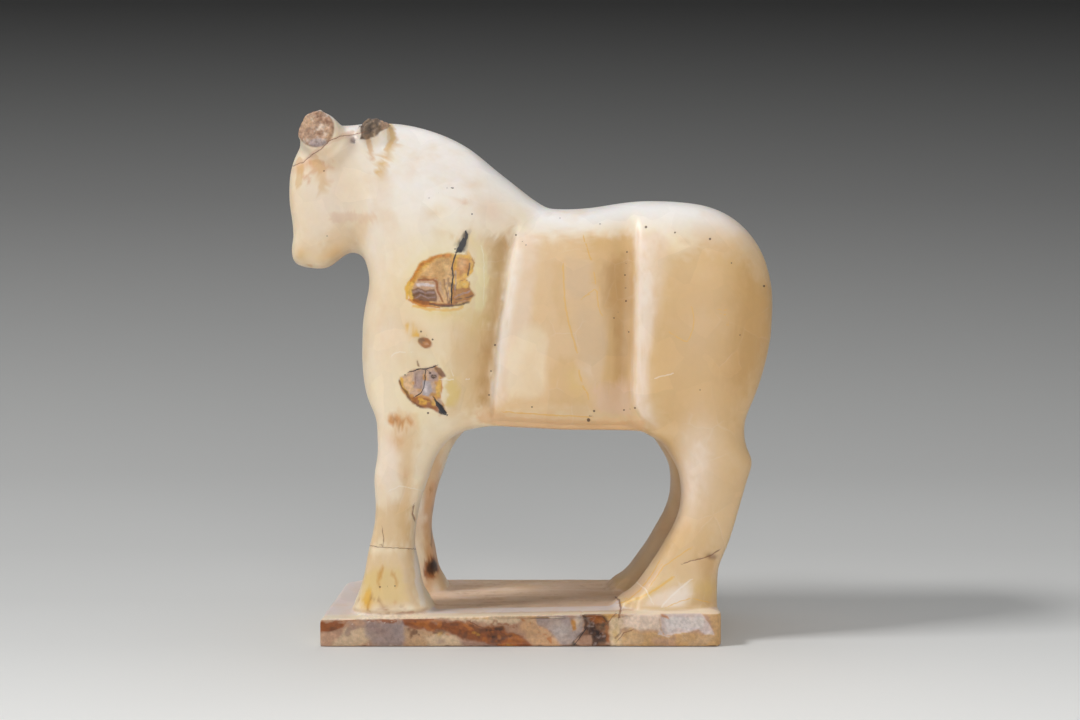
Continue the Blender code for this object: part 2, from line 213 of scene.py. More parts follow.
# along, height, half width, depth
TAIL = (
    (45.8, 76.8, 1.6, 2.4),
    (49.2, 72.4, 1.8, 2.6),
    (51.3, 66.6, 1.7, 2.6),
    (51.8, 60.0, 1.6, 2.6),
    (50.6, 51.6, 1.6, 2.6),
    (48.6, 44.6, 1.9, 2.8),
    (46.9, 38.6, 2.1, 3.0),
    (45.6, 34.6, 1.4, 3.0),
)
sections = sum(map(len, (HEAD_AND_NECK, MUZZLE, TRUNK, FRONT_LEG, HIND_LEG, HORN, EAR, TAIL)))
print("the figure is drawn with", sections, "sections")

# %% [markdown]
# ## Reading between the sections
# A natural cubic spline runs through each column of a table, so that the form bends as evenly as
# a bent strip of wood. Blender's curves could do this, but the spline keeps all columns together.

# %% Spline through a table
ROWS_PER_MASS = 120


def flowing(table, count=ROWS_PER_MASS):
    """Rows along a natural cubic spline through the table.

    Between two rows, the value is the cubic whose bend, its second slope, runs straight from
    one row's bend to the next's. The bends solve one system of equations, and end at zero.
    """
    rows = np.array(table, float)
    steps = np.linalg.norm(np.diff(rows, axis=0), axis=1)
    at = np.concatenate([[0.0], np.cumsum(steps)])
    inner = np.arange(1, len(rows) - 1)
    system = np.eye(len(rows))
    system[inner, inner - 1] = steps[:-1]
    system[inner, inner] = 2 * (steps[:-1] + steps[1:])
    system[inner, inner + 1] = steps[1:]
    slopes = np.diff(rows, axis=0) / steps[:, None]
    pull = np.zeros_like(rows)
    pull[inner] = 6 * np.diff(slopes, axis=0)
    bend = np.linalg.solve(system, pull)
    where = np.linspace(0.0, at[-1], count)
    i = np.clip(np.searchsorted(at, where, side="right") - 1, 0, len(rows) - 2)
    step, after = steps[i][:, None], (where - at[i])[:, None]
    before = step - after
    cubic = (bend[i] * before**3 + bend[i + 1] * after**3) / (6 * step)
    low = (rows[i] / step - bend[i] * step / 6) * before
    high = (rows[i + 1] / step - bend[i + 1] * step / 6) * after
    return cubic + low + high


# %% [markdown]
# ## From sections to a skin
# A mass is a surface of two parameters: how far along the mass, and how far around the section.
# Around the section runs a superellipse, an ellipse that turns into a rounded box as its power
# grows: the neck is nearly round, the belly nearly square.

# %% Skins
AROUND = np.linspace(0.0, 2 * np.pi, 72, endpoint=False)[None, :]
NECK_SQUARENESS = 2.5
BACK_SQUARENESS = 2.7
BELLY_SQUARENESS = 11.0
LEG_SQUARENESS = 3.2


def squared(wave, power):
    """The sign of the wave times its size to the power 2 / power: a superellipse's coordinate."""
    return np.sign(wave) * np.abs(wave) ** (2 / power)


def columns(table):
    """The spline's columns, each as an upright array that spreads over the angles around."""
    return [column[:, None] for column in flowing(table).T]


def grid_of(x, y, z):
    """One grid of points from three arrays in hundredths, in metres above the plinth."""
    x, y, z = np.broadcast_arrays(x, y, z)
    return np.stack([x * UNIT, y * UNIT, z * UNIT + PLINTH_TOP], axis=-1)


def neck_skin(table):
    """Upright rings: height by the sine, width by the cosine times 1 + flare times the sine."""
    along, low, high, half, flare = columns(table)
    up = np.sin(AROUND)
    rise = squared(up, NECK_SQUARENESS) * (high - low) / 2
    across = squared(np.cos(AROUND), NECK_SQUARENESS) * half * (1 + flare * up)
    return grid_of(along, across, (high + low) / 2 + rise)


def trunk_skin(table):
    """Upright rings, round above and square below, that lean back as they rise."""
    along, low, high, half, lean = columns(table)
    up = np.sin(AROUND)
    power = np.where(up > 0, BACK_SQUARENESS, BELLY_SQUARENESS)
    rise = squared(up, power) * (high - low) / 2
    across = squared(np.cos(AROUND), power) * half
    return grid_of(along + lean * rise, across, (high + low) / 2 + rise)


LEG_GAP = 0.016
LEG_THICKNESS = 11.0
FAR_FORELEG_SET_BACK = 0.0035


def leg_skin(table, side, set_back=0.0):
    """Level rings around a leg, whose axis is half a gap and half a leg from the middle."""
    height, front, back, thickness = columns(table)
    axis = LEG_GAP / 2 / UNIT + LEG_THICKNESS / 2
    reach = squared(np.cos(AROUND), LEG_SQUARENESS) * (back - front) / 2
    spread = squared(np.sin(AROUND), LEG_SQUARENESS) * thickness / 2
    return grid_of((front + back) / 2 + set_back / UNIT + reach, side * (axis + spread), height)


def stump_skin(table, side):
    """Round upright rings that step outwards from the head."""
    across, along, height, radius = columns(table)
    return grid_of(along + radius * np.cos(AROUND), side * across, height + radius * np.sin(AROUND))


def tail_skin(table):
    """Rings across a path down the rump: half width sideways, half depth along the normal."""
    along, height, half, depth = columns(table)
    run, fall = np.gradient(along[:, 0]), np.gradient(height[:, 0])
    run, fall = (part[:, None] / np.hypot(run, fall)[:, None] for part in (run, fall))
    out = np.sin(AROUND) * depth / 2
    return grid_of(along - out * fall, np.cos(AROUND) * half, height + out * run)


# %% [markdown]
# ## The plinth
# The plinth is a low slab. Its long faces are straight, its far front corner is well rounded and
# its near front edge is worn down. It is the same kind of surface: an outline around, carried up
# through a profile whose last rings draw in to round the top edge.

# %% Plinth
PLINTH_TOE_MARGIN = 0.013
PLINTH_SIDE_MARGIN = 0.0035
PLINTH_EDGE_ROUNDING = 0.0012
PLINTH_TOE_WEAR = 0.0032
PLINTH_TOE_WEAR_LENGTH = 0.030
PLINTH_FAR_SIDE_WEAR = 0.0012
SMALL_CORNER = 0.004
LARGE_CORNER = 0.011
TOE = min(row[1] for row in FRONT_LEG if row[0] > 0) * UNIT - PLINTH_TOE_MARGIN
HEEL = max(row[2] for row in HIND_LEG if row[0] < 1) * UNIT
WIDEST_FOOT = max(row[3] for row in HIND_LEG)
HALF_DEPTH = LEG_GAP / 2 + (LEG_THICKNESS + WIDEST_FOOT) / 2 * UNIT + PLINTH_SIDE_MARGIN


def plinth_outline(inset):
    """A rectangle with round corners: four quarter circles joined by straight sides."""
    corners = (
        (HEEL, -HALF_DEPTH, SMALL_CORNER, -0.5),
        (HEEL, HALF_DEPTH, SMALL_CORNER, 0.0),
        (TOE, HALF_DEPTH, LARGE_CORNER, 0.5),
        (TOE, -HALF_DEPTH, SMALL_CORNER / 2, 1.0),
    )
    turn = np.linspace(0.0, 0.5, 19)
    parts = []
    for x, y, radius, start in corners:
        angle = (start + turn) * np.pi
        centre = np.array([x - np.sign(x) * radius, y - np.sign(y) * radius])
        spokes = np.stack([np.cos(angle), np.sin(angle)], axis=-1)
        parts.append(centre + max(radius - inset, 0.0002) * spokes)
    return np.concatenate(parts)


def plinth_skin():
    """The outline carried up from below z = 0, and drawn in over a quarter circle at the top."""
    turn = np.linspace(0.0, np.pi / 2, 7)
    insets = np.concatenate([[0.0], PLINTH_EDGE_ROUNDING * (1 - np.cos(turn))])
    heights = np.concatenate([[0.0], PLINTH_TOP - PLINTH_EDGE_ROUNDING * (1 - np.sin(turn))])
    rings = []
    for inset, height in zip(insets, heights):
        outline = plinth_outline(inset)
        near_toe = np.clip(1 - (outline[:, 0] - TOE) / PLINTH_TOE_WEAR_LENGTH, 0, 1) ** 2
        far = 0.5 + outline[:, 1] / HALF_DEPTH / 2
        worn = PLINTH_TOE_WEAR * near_toe * (1 - far) + PLINTH_FAR_SIDE_WEAR * far
        level = np.full(len(outline), height) - (worn if height > 0 else 0.0)
        rings.append(np.column_stack([outline, level]))
    return np.array(rings)


print("the plinth is", round((HEEL - TOE) * 1000, 1), "by", round(HALF_DEPTH * 2000, 1), "mm")

# %% [markdown]
# ## One block
# The masses overlap, so they are joined as a carver sees them: as one block. A voxel remesh walks
# over the outside of all of them and makes one closed skin of small squares.

# %% Join the masses
COARSE_VOXEL = 0.0010


def add_grid(points, faces, grid):
    """Adds a closed tube: squares between neighbouring rings, and one face over each end."""
    rings, around = grid.shape[:2]
    first = sum(map(len, points))
    index = first + np.arange(rings * around).reshape(rings, around)
    turned = np.roll(index, -1, axis=1)
    squares = np.stack([index[:-1], turned[:-1], turned[1:], index[1:]], axis=-1)
    points.append(grid.reshape(-1, 3))
    faces += squares.reshape(-1, 4).tolist()
    faces += [index[0][::-1].tolist(), index[-1].tolist()]


def apply_modifiers(piece):
    """Keeps what the modifiers make of the piece as its mesh."""
    graph = bpy.context.evaluated_depsgraph_get()
    made = bpy.data.meshes.new_from_object(piece.evaluated_get(graph), depsgraph=graph)
    piece.modifiers.clear()
    old = piece.data
    piece.data = made
    bpy.data.meshes.remove(old)


points, faces = [], []
add_grid(points, faces, plinth_skin())
add_grid(points, faces, neck_skin(HEAD_AND_NECK))
add_grid(points, faces, neck_skin(MUZZLE))
add_grid(points, faces, trunk_skin(TRUNK))
add_grid(points, faces, tail_skin(TAIL))
for side in (-1, 1):
    add_grid(points, faces, leg_skin(FRONT_LEG, side, FAR_FORELEG_SET_BACK if side > 0 else 0.0))
    add_grid(points, faces, leg_skin(HIND_LEG, side))
    add_grid(points, faces, stump_skin(HORN, side))
    add_grid(points, faces, stump_skin(EAR, side))

mesh = bpy.data.meshes.new("carving")
mesh.from_pydata(np.concatenate(points).tolist(), [], faces)
bull = bpy.data.objects.new("carving", mesh)
bpy.context.scene.collection.objects.link(bull)
fuse = bull.modifiers.new("fuse", "REMESH")
fuse.mode = "VOXEL"
fuse.voxel_size = COARSE_VOXEL
apply_modifiers(bull)
print("one skin of", len(bull.data.vertices), "points")

# %% [markdown]
# ## Softening
# A carver's rasp and sand leave no sharp seam where two masses meet. Each point is moved a share
# of the way to the middle of its neighbours, many times where masses flow together, a few times
# elsewhere, and hardly at all on the plinth, whose edges stay.

# %% Reading and writing a mesh
def read_points(piece):
    """Every point's place, as rows of x, y and z."""
    flat = np.empty(len(piece.data.vertices) * 3, np.float32)
    piece.data.vertices.foreach_get("co", flat)
    return flat.reshape(-1, 3).astype(float)


def write_points(piece, spots):
    """Puts the moved points back."""
    piece.data.vertices.foreach_set("co", spots.astype(np.float32).ravel())
    piece.data.update()


def read_normals(piece):
    """The direction in which the skin faces at every point."""
    flat = np.empty(len(piece.data.vertices) * 3, np.float32)
    piece.data.vertex_normals.foreach_get("vector", flat)
    return flat.reshape(-1, 3).astype(float)


def read_edges(piece):
    """The two ends of every edge, as point numbers."""
    flat = np.empty(len(piece.data.edges) * 2, np.int32)
    piece.data.edges.foreach_get("vertices", flat)
    return flat.reshape(-1, 2)


def relaxed(values, edges, weight, steps, share=0.6):
    """Moves each value by share times weight towards the mean of its neighbours, steps times."""
    ends = np.concatenate([edges[:, 0], edges[:, 1]])
    others = np.concatenate([edges[:, 1], edges[:, 0]])
    size = len(values)
    neighbours = np.maximum(np.bincount(ends, minlength=size), 1)
    pull = share * weight
    values = values.T.copy()
    for _ in range(steps):
        for row in values:
            mean = np.bincount(ends, row[others], size) / neighbours
            row += pull * (mean - row)
    return values.T


# %% [markdown]
# The table says where masses meet and how far each blend reaches, as an ellipse. The plinth's top
# is smoothed as well, up to a narrow border that keeps its edge crisp.

# %% Relax the skin
MEETING_STEPS = 105
OVERALL_STEPS = 12
LEAST_WEIGHT = 0.06
PLINTH_FACE_WEIGHT = 0.9
INSIDE_EDGE = 0.0022
# along, height, and how far the blend reaches along and up, in hundredths
MEETINGS = (
    (-20.0, 67.0, 15.0, 19.0),
    (-22.0, 44.0, 10.0, 14.0),
    (-15.0, 35.0, 7.0, 5.0),
    (39.0, 45.0, 14.0, 17.0),
    (-33.0, 71.0, 4.0, 5.0),
    (-42.0, 79.0, 8.0, 6.0),
)
spots, edges = read_points(bull), read_edges(bull)
along, above = spots[:, 0] / UNIT, (spots[:, 2] - PLINTH_TOP) / UNIT
meeting = np.zeros(len(spots))
for x, z, reach_x, reach_z in MEETINGS:
    inside = 1 - ((along - x) / reach_x) ** 2 - ((above - z) / reach_z) ** 2
    meeting = np.maximum(meeting, np.clip(2 * inside, 0, 1))
spots = relaxed(spots, edges, meeting, MEETING_STEPS)
in_length = (spots[:, 0] > TOE + INSIDE_EDGE) & (spots[:, 0] < HEEL - INSIDE_EDGE)
in_depth = np.abs(spots[:, 1]) < HALF_DEPTH - INSIDE_EDGE
plinth_face = PLINTH_FACE_WEIGHT * (in_length & in_depth & (spots[:, 2] > PLINTH_TOP / 2))
everywhere = np.maximum(np.clip((above - 0.5) / 2, LEAST_WEIGHT, 1), plinth_face)
spots = relaxed(spots, edges, everywhere, OVERALL_STEPS)
write_points(bull, spots)
print("relaxed", int((meeting > 0).sum()), "points at the meetings")

# %% [markdown]
# ## A finer skin
# The broad forms are done, so each square is divided in four, and the new points can carry the
# breaks, cracks and pits.

# %% Divide
finer = bull.modifiers.new("finer", "SUBSURF")
finer.levels = finer.render_levels = 1
apply_modifiers(bull)
print("the finer skin has", len(bull.data.vertices), "points")

# %% [markdown]
# ## Reading the picture
# The damage and the colours have no rule that a table of sections could hold. They are marked
# where the picture shows them, in its pixels, and each point of the near side finds its own marks
# by asking where the eye sees it. The far side uses the same trick in a mirror, with other marks.

# %% The eye's view
PICTURE_WIDTH, PICTURE_HEIGHT = 1080, 720
SENSOR = 36.0


def seen(points):
    """Picture pixels of each point: its offset from the eye, over its distance, times the lens."""
    scale = LENS / SENSOR * PICTURE_WIDTH / (points[:, 1] - EYE[1])
    across = PICTURE_WIDTH / 2 + (points[:, 0] - EYE[0]) * scale
    down = PICTURE_HEIGHT / 2 + LENS_DROP * PICTURE_WIDTH - (points[:, 2] - EYE[2]) * scale
    return np.column_stack([across, down])


def survey(piece):
    """Each point's place, normal, near view and far view, and how squarely it faces the eye.

    The far view is from the other side, as if the bull were seen in a mirror. The last is the
    cosine between the normal and the way to the eye.
    """
    places, directions = read_points(piece), read_normals(piece)
    to_eye = EYE - places
    squarely = np.einsum("ij,ij->i", directions, to_eye) / np.linalg.norm(to_eye, axis=1)
    return places, directions, seen(places), seen(places * (1, -1, 1)), squarely


def eased(value, low, high):
    """0 below low, 1 above high, and the smooth curve 3t² - 2t³ between them."""
    t = np.clip((value - low) / (high - low), 0, 1)
    return t * t * (3 - 2 * t)


def from_line(view, line):
    """Distance to a line of straight runs, and the same with a sign for the side of the line."""
    line = np.array(line, float)
    nearest = np.full(len(view), np.inf)
    side = np.ones(len(view))
    for start, end in zip(line[:-1], line[1:]):
        run = end - start
        share = np.clip((view - start) @ run / (run @ run), 0, 1)
        gap = view - start - share[:, None] * run
        distance = np.hypot(gap[:, 0], gap[:, 1])
        closer = distance < nearest
        nearest = np.where(closer, distance, nearest)
        side = np.where(closer, np.sign(run[0] * gap[:, 1] - run[1] * gap[:, 0]), side)
    return nearest, nearest * side


def depth_inside(view, outline):
    """Distance to a closed outline, positive where a level ray crosses it an odd number of times."""
    corners = np.array(outline + outline[:1], float)
    within = np.zeros(len(view), bool)
    for (x0, y0), (x1, y1) in zip(corners[:-1], corners[1:]):
        if y0 != y1:
            crossing = x0 + (view[:, 1] - y0) * (x1 - x0) / (y1 - y0)
            within ^= ((y0 > view[:, 1]) != (y1 > view[:, 1])) & (view[:, 0] < crossing)
    distance, _ = from_line(view, corners)
    return np.where(within, distance, -distance)


def blob(view, x, y, reach, reach_across, turn=0.0):
    """A bell over an ellipse: e to the minus squared distance, in reaches along its turned axes."""
    angle = math.radians(turn)
    dx, dy = view[:, 0] - x, view[:, 1] - y
    along_axis = (dx * math.cos(angle) + dy * math.sin(angle)) / reach
    across_axis = (dy * math.cos(angle) - dx * math.sin(angle)) / reach_across
    return np.exp(-along_axis**2 - across_axis**2)


# %% [markdown]
# ## Clouds
# Stone is never even. A cloud is a soft random value at every point in space, from a lattice of
# random corners. Blender's Noise node does the same in a material, but here the mesh needs it.

# %% Clouds in space
LATTICE_SHIFT = 4096
HASH_PRIMES = np.array([73856093, 19349663, 83492791])
HASH_STIR = 1274126177


def cloud(points, size, seed):
    """Values from -1 to 1: hashed at the corners of cubes of that size, eased inside each cube."""
    place = points / size + LATTICE_SHIFT
    corner = np.floor(place).astype(np.int64)
    inside = eased(place - corner, 0, 1)
    total = np.zeros(len(points))
    for step in np.ndindex(2, 2, 2):
        key = ((corner + step) * HASH_PRIMES).sum(axis=1) + seed * HASH_PRIMES[0]
        key = ((key ^ (key >> 13)) * HASH_STIR) & 0xFFFFFFFF
        value = ((key ^ (key >> 15)) & 0xFFFF) / 0x7FFF - 1
        total += value * np.prod(np.where(step, inside, 1 - inside), axis=1)
    return total


def clouds(points, size, seed, halvings=3):
    """A cloud, plus half as much of a cloud half that size, and so on."""
    return sum(cloud(points, size / 2**i, seed + i) / 2**i for i in range(halvings))


# %% [markdown]
# ## Cutting the surface
# Now the carver's and time's marks are cut: every point moves inwards along its normal by a depth
# in millimetres. First the two creases. Each is a step that falls away slowly from the left and
# rises sharply on the right, where it catches the light.

# %% Creases
spots, normals, view, mirror_view, facing = survey(bull)
flank_view = np.where(spots[:, 1:2] < 0, view, mirror_view)
# 1 on the near side where the skin faces the eye, and 0 on the far side and past the outline
near = eased(-spots[:, 1], 0, 0.002) * eased(facing, 0.0, 0.15)
SHOULDER_CREASE = (
    (519, 212), (515, 234), (507, 266), (502, 300), (496, 332), (494, 365), (490, 408), (488, 424)
)
HAUNCH_CREASE = (
    (637, 212), (635, 229), (634, 300), (632, 340), (631, 406), (640, 421), (657, 436)
)
# depth in millimetres, the rest in pixels
CREASE_DEPTH = 1.0
CREASE_FALL = 19.0
CREASE_RISE = 3.2
CREASE_TOP_FADE = (212, 240)
CREASE_FOOT_FADE = (-432, -415)

depth = np.zeros(len(spots))
sideways = eased(np.abs(normals[:, 1]), 0.3, 0.7)
for crease in (SHOULDER_CREASE, HAUNCH_CREASE):
    reach, offset = from_line(flank_view, crease)
    fades = eased(flank_view[:, 1], *CREASE_TOP_FADE) * eased(-flank_view[:, 1], *CREASE_FOOT_FADE)
    left = np.exp(-((reach / CREASE_FALL) ** 1.3))
    right = np.exp(-((reach / CREASE_RISE) ** 2))
    depth += CREASE_DEPTH * fades * sideways * np.where(offset > 0, left, right)

# %% [markdown]
# The flank ends below in a narrow chamfer between the two creases.

# %% Flank's lower edge
PANEL_EDGE = ((486, 409), (532, 415), (587, 419), (635, 416))
CHAMFER_DEPTH = 1.6
CHAMFER_PIXELS = 14
between = eased(flank_view[:, 0], 484, 500) * eased(-flank_view[:, 0], -640, -628)
edge_height = np.interp(flank_view[:, 0], *np.array(PANEL_EDGE, float).T)
below_edge = np.clip(flank_view[:, 1] - edge_height, 0, CHAMFER_PIXELS)
depth += CHAMFER_DEPTH * below_edge / CHAMFER_PIXELS * between * sideways
print("deepest crease or chamfer", round(float(depth.max()), 2), "mm")

# %% [markdown]
# ## Broken stumps
# The horns and ears are lost. Each break is a nearly flat, granular face, rougher than anything
# that the carver left, with a sharp rim where the polish ends.

# %% Breaks
HORN_BREAK = (315.5, 128.5)
HORN_BREAK_RADIUS = 18.0
EAR_BREAK = (
    (360, 139), (361, 133), (359, 127), (360, 120), (368, 114), (380, 114), (392, 120), (391, 126),
    (386, 129), (380, 131), (375, 137), (368, 140),
)
# where a stump's end face begins, from the middle plane
HORN_END, EAR_END = 0.0190, 0.0095


def break_shares(points, seen_at):
    """How much each point belongs to the horn's and to the ear's break, with a ragged rim."""
    rag = 1.4 * cloud(points, 0.0045, 3) + 0.7 * cloud(points, 0.0018, 4)
    out = np.abs(points[:, 1])
    reach = np.hypot(*(seen_at - HORN_BREAK).T)
    horn = eased(HORN_BREAK_RADIUS - reach, -1.5, 0.5)
    horn *= eased(out + 0.0006 * rag, HORN_END, HORN_END + 0.001)
    ear = eased(depth_inside(seen_at, EAR_BREAK) + rag, -0.5, 1.0)
    ear *= eased(out, EAR_END, EAR_END + 0.002)
    return horn, ear


horn_broken, ear_broken = break_shares(spots, flank_view)
broken = np.maximum(horn_broken, ear_broken)
granules = 0.45 * cloud(spots, 0.0042, 10) + 0.45 * cloud(spots, 0.0021, 11)
granules += 0.25 * cloud(spots, 0.0011, 12)
BREAK_DEPTH = 0.25
GRANULE_DEPTH = 1.25
depth += broken * (BREAK_DEPTH + GRANULE_DEPTH * granules)
print("broken faces hold", int((broken > 0.5).sum()), "points")

# %% [markdown]
# ## Cracks
# A crack is a narrow groove. Its line is drawn with a few points; a little noise makes it wander.

# %% Cracks
BROW_CRACK = (
    (293, 166), (304, 162), (312, 155), (321, 149), (329, 141), (341, 136), (352, 135), (364, 132)
)
LEG_CRACK = ((367, 545), (381, 547.5), (398, 548), (416, 549))
LEG_SCRATCH = ((382, 529), (384, 541), (383, 546))
LEG_SLIT = ((414, 506), (412.5, 514), (415, 521))
HEEL_CRACK = ((684, 563), (694, 560), (704, 558), (712, 555), (719, 550))
FOOT_VEIN = ((672, 578), (655, 590), (640, 598), (620, 603))
NOTCH = ((601, 581), (610, 592), (619, 600), (621, 608), (619, 617))
PLINTH_CRACK = ((582, 611), (586, 621), (584, 629), (578, 637), (576, 647))
BLOT_CRACK = ((600, 633), (606, 625), (613, 616))
PATCH_CRACK = ((459, 250), (454.5, 258), (452, 268), (454, 276), (452, 286), (451, 303))
LOWER_CRACK = ((434, 398), (438.5, 406), (445.5, 414))
# line, groove's depth in millimetres, its half width in pixels
GROOVES = (
    (BROW_CRACK, 0.20, 1.1),
    (LEG_CRACK, 0.18, 1.1),
    (LEG_SCRATCH, 0.08, 0.8),
    (LEG_SLIT, 0.3, 1.4),
    (HEEL_CRACK, 0.12, 1.2),
    (FOOT_VEIN, 0.04, 1.4),
    (NOTCH, 0.4, 1.1),
    (PLINTH_CRACK, 0.25, 1.3),
    (BLOT_CRACK, 0.2, 1.1),
    (PATCH_CRACK, 0.3, 1.0),
    (LOWER_CRACK, 0.45, 1.6),
)
wandering = view + 1.3 * np.column_stack([cloud(spots, 0.003, 21), cloud(spots, 0.003, 22)])
for line, groove_depth, half_width in GROOVES:
    reach, _ = from_line(wandering, line)
    depth += groove_depth * near * np.exp(-((reach / half_width) ** 2))
print("cut", len(GROOVES), "cracks")

# %% [markdown]
# ## The plinth's damage
# The plinth's front was never fully polished. Its softer veins stand back from the harder stone, a
# flake is lost near the heel, and its top has a shallow worn bed between the feet.

# %% Plinth wear
HEEL_FLAKE = (
    (660, 613), (680, 611), (700, 612), (708, 622), (714, 634), (705, 634), (699, 629), (690, 632),
    (668, 636), (658, 634), (661, 625),
)
BLOT = ((583, 612), (607, 612), (612, 625), (606, 647), (590, 647), (584, 634))
VEIN_BAND = (
    (400, 622), (430, 625), (480, 633), (505, 641), (530, 650), (478, 645), (440, 633), (402, 627)
)
FLAKE_DEPTH, BLOT_DEPTH, VEIN_DEPTH = 0.55, 0.35, 0.18
FRONT_ROUGHNESS, BLOT_ROUGHNESS = 0.10, 0.25
on_front = near * eased(-spots[:, 2], -0.0150, -0.0135) * eased(-normals[:, 1], 0.5, 0.9)
flake = eased(depth_inside(wandering, HEEL_FLAKE), 0, 2.2)
blot = eased(depth_inside(wandering, BLOT), 0, 2.0)
vein_band = eased(depth_inside(wandering, VEIN_BAND), 0, 2.0)
depth += on_front * (FLAKE_DEPTH * flake + BLOT_DEPTH * blot + VEIN_DEPTH * vein_band)
depth += on_front * (FRONT_ROUGHNESS + BLOT_ROUGHNESS * blot) * clouds(spots, 0.004, 31)

# %% [markdown]
# The bed on the plinth's top begins behind a straight ledge, and a finer step runs along before it. The
# ledge is painted pale further on, partly the stone's colour and partly a painted highlight where it
# catches the light.

# %% Plinth's bed
BED_DEPTH, LEDGE_DEPTH, TOP_ROUGHNESS = 0.40, 0.08, 0.08
on_top = eased(normals[:, 2], 0.6, 0.9) * eased(-np.abs(spots[:, 2] - 0.0135), -0.004, -0.002)
BED_EDGE, BED_START = -0.0210, -0.051
LEDGE_LINE = -0.0320


def bed_share(points):
    """How much each point lies in the worn bed: behind its near edge and past its start."""
    past_start = eased(points[:, 0], BED_START - 0.004, BED_START + 0.004)
    return past_start * eased(points[:, 1], BED_EDGE - 0.001, BED_EDGE + 0.001)


ledge_step = eased(-spots[:, 1], -LEDGE_LINE - 0.0005, -LEDGE_LINE + 0.0015)
top_wear = BED_DEPTH * bed_share(spots) + LEDGE_DEPTH * ledge_step
depth += on_top * (top_wear + TOP_ROUGHNESS * clouds(spots, 0.006, 33))

# %% [markdown]
# ## The heel's chip, and the hand of the carver
# The hind leg has a dark chip where the crack leaves it. Everywhere, the surface keeps a slight
# swell, because it was ground by hand.

# %% Chip and swell
HEEL_CHIP = (712.0, 556.0)
CHIP_RADIUS = 5.0
CHIP_DEPTH = 0.7
chip = np.exp(-((np.hypot(*(wandering - HEEL_CHIP).T) / CHIP_RADIUS) ** 2)) * near
depth += CHIP_DEPTH * chip * (1 + 0.6 * cloud(spots, 0.0015, 41))
swell = 0.20 * cloud(spots, 0.021, 51) + 0.09 * cloud(spots, 0.009, 52)
free = eased(spots[:, 2], 0.017, 0.030) * (1 - broken)
depth += swell * free
# the underside stays flat, since the plinth stands on it
underside = eased(spots[:, 2], 0.0005, 0.004)
spots = spots - normals * (depth * underside * MM)[:, None]
write_points(bull, spots)
print("deepest cut", round(float(depth.max()), 2), "mm")

# %% [markdown]
# ## Fewer triangles, where they do not show
# The skin is far denser than the smooth flanks need. The Decimate modifier merges points where the
# surface is even. A vertex group keeps it away from the breaks, the shoulder's inclusions and the
# plinth's front, which need every point for their colours.

# %% Lighten
MOST_TRIANGLES = 196000
# middle and half size in the picture, in pixels
KEPT_DENSE = (
    (441, 282, 44, 34),
    (424, 345, 14, 14),
    (423, 388, 30, 30),
    (318, 140, 26, 26),
    (375, 134, 22, 18),
    (712, 555, 12, 10),
)
keep = on_front > 0.3
for x, y, half_width, half_height in KEPT_DENSE:
    off_middle = np.hypot((view[:, 0] - x) / half_width, (view[:, 1] - y) / half_height)
    keep |= (off_middle < 1) & (near > 0.3)
keep |= broken > 0.3
dense = bull.vertex_groups.new(name="dense")
dense.add(np.flatnonzero(keep).tolist(), 1.0, "REPLACE")
lighten = bull.modifiers.new("lighten", "DECIMATE")
lighten.vertex_group = dense.name
lighten.invert_vertex_group = True
lighten.vertex_group_factor = 1.0
triangles = sum(len(face.vertices) - 2 for face in bull.data.polygons)
lighten.ratio = MOST_TRIANGLES / triangles
apply_modifiers(bull)
bull.vertex_groups.clear()
bull.data.shade_smooth()
print("kept dense:", int(keep.sum()), "points; the piece has", len(bull.data.polygons), "faces")

# %% [markdown]
# ## The stone's colours
# Alabaster is milk white where it is pure, and honey, ochre and brown where water has stained it.
# The palette has plain names. A shader could mix veins from noise alone, but this stone is known by its
# patches, so they are laid one over another on the mesh's points, as a painter glazes. Some patches stand
# for light rather than stain, painted highlights and painted shade, and are named so where they are laid.

# %% Palette
SCREEN_GAMMA = 2.2


def shade(red, green, blue):
    """A colour as the eye reads it, 0 to 255, turned into the light that it sends back."""
    return np.array([red, green, blue]) ** SCREEN_GAMMA / 255**SCREEN_GAMMA


PALETTE = {
    "milk": shade(246, 239, 232),
    "frost": shade(232, 230, 230),
    "lilac": shade(228, 214, 212),
    "shell": shade(242, 222, 204),
    "cream": shade(242, 224, 194),
    "pale_yellow": shade(236, 220, 170),
    "peach": shade(228, 188, 142),
    "rose": shade(226, 190, 164),
    "sand": shade(214, 182, 144),
    "honey": shade(216, 176, 120),
    "amber": shade(192, 146, 90),
    "straw": shade(226, 194, 112),
    "gold": shade(228, 176, 70),
    "ochre": shade(208, 146, 58),
    "orange": shade(204, 128, 54),
    "rust": shade(158, 90, 34),
    "bark": shade(122, 78, 50),
    "umber": shade(78, 54, 42),
    "soot": shade(30, 28, 36),
    "mauve": shade(166, 142, 138),
    "ash": shade(172, 162, 166),
    "clay": shade(198, 160, 134),
}

# %% [markdown]
# ## Laying a mark
# Three kinds of marks are enough. A stain is a soft ellipse, a streak follows a line, and a patch
# fills an outline. Each is a share between 0 and 1 at every point, by which the colour there moves
# towards the mark's colour. A cloud is added to each distance, so that no edge is smooth.

# %% Marks
spots, normals, view, mirror_view, facing = survey(bull)
# the colours run on a little past the outline, so that its rim is not left bare
near = eased(-spots[:, 1], -0.0005, 0.0015) * eased(facing, -0.25, -0.05)
far = eased(spots[:, 1], -0.0005, 0.0015) * eased(normals[:, 1], -0.1, 0.1)
far_seen = eased(spots[:, 1], 0.0, 0.002) * eased(facing, 0.0, 0.12)
ripple = 0.6 * cloud(spots, 0.0028, 61) + 0.4 * cloud(spots, 0.0011, 62)
sway = np.column_stack([clouds(spots, 0.014, 63, 2), clouds(spots, 0.014, 66, 2)])
fine_sway = np.column_stack([clouds(spots, 0.0040, 67, 2), clouds(spots, 0.0040, 69, 2)])


def stain(x, y, reach, reach_across, turn):
    """The bell of an ellipse, times 1 + half the ripple."""
    return lambda seen_at: np.clip(
        blob(seen_at, x, y, reach, reach_across, turn) * (1 + 0.5 * ripple), 0, 1
    )


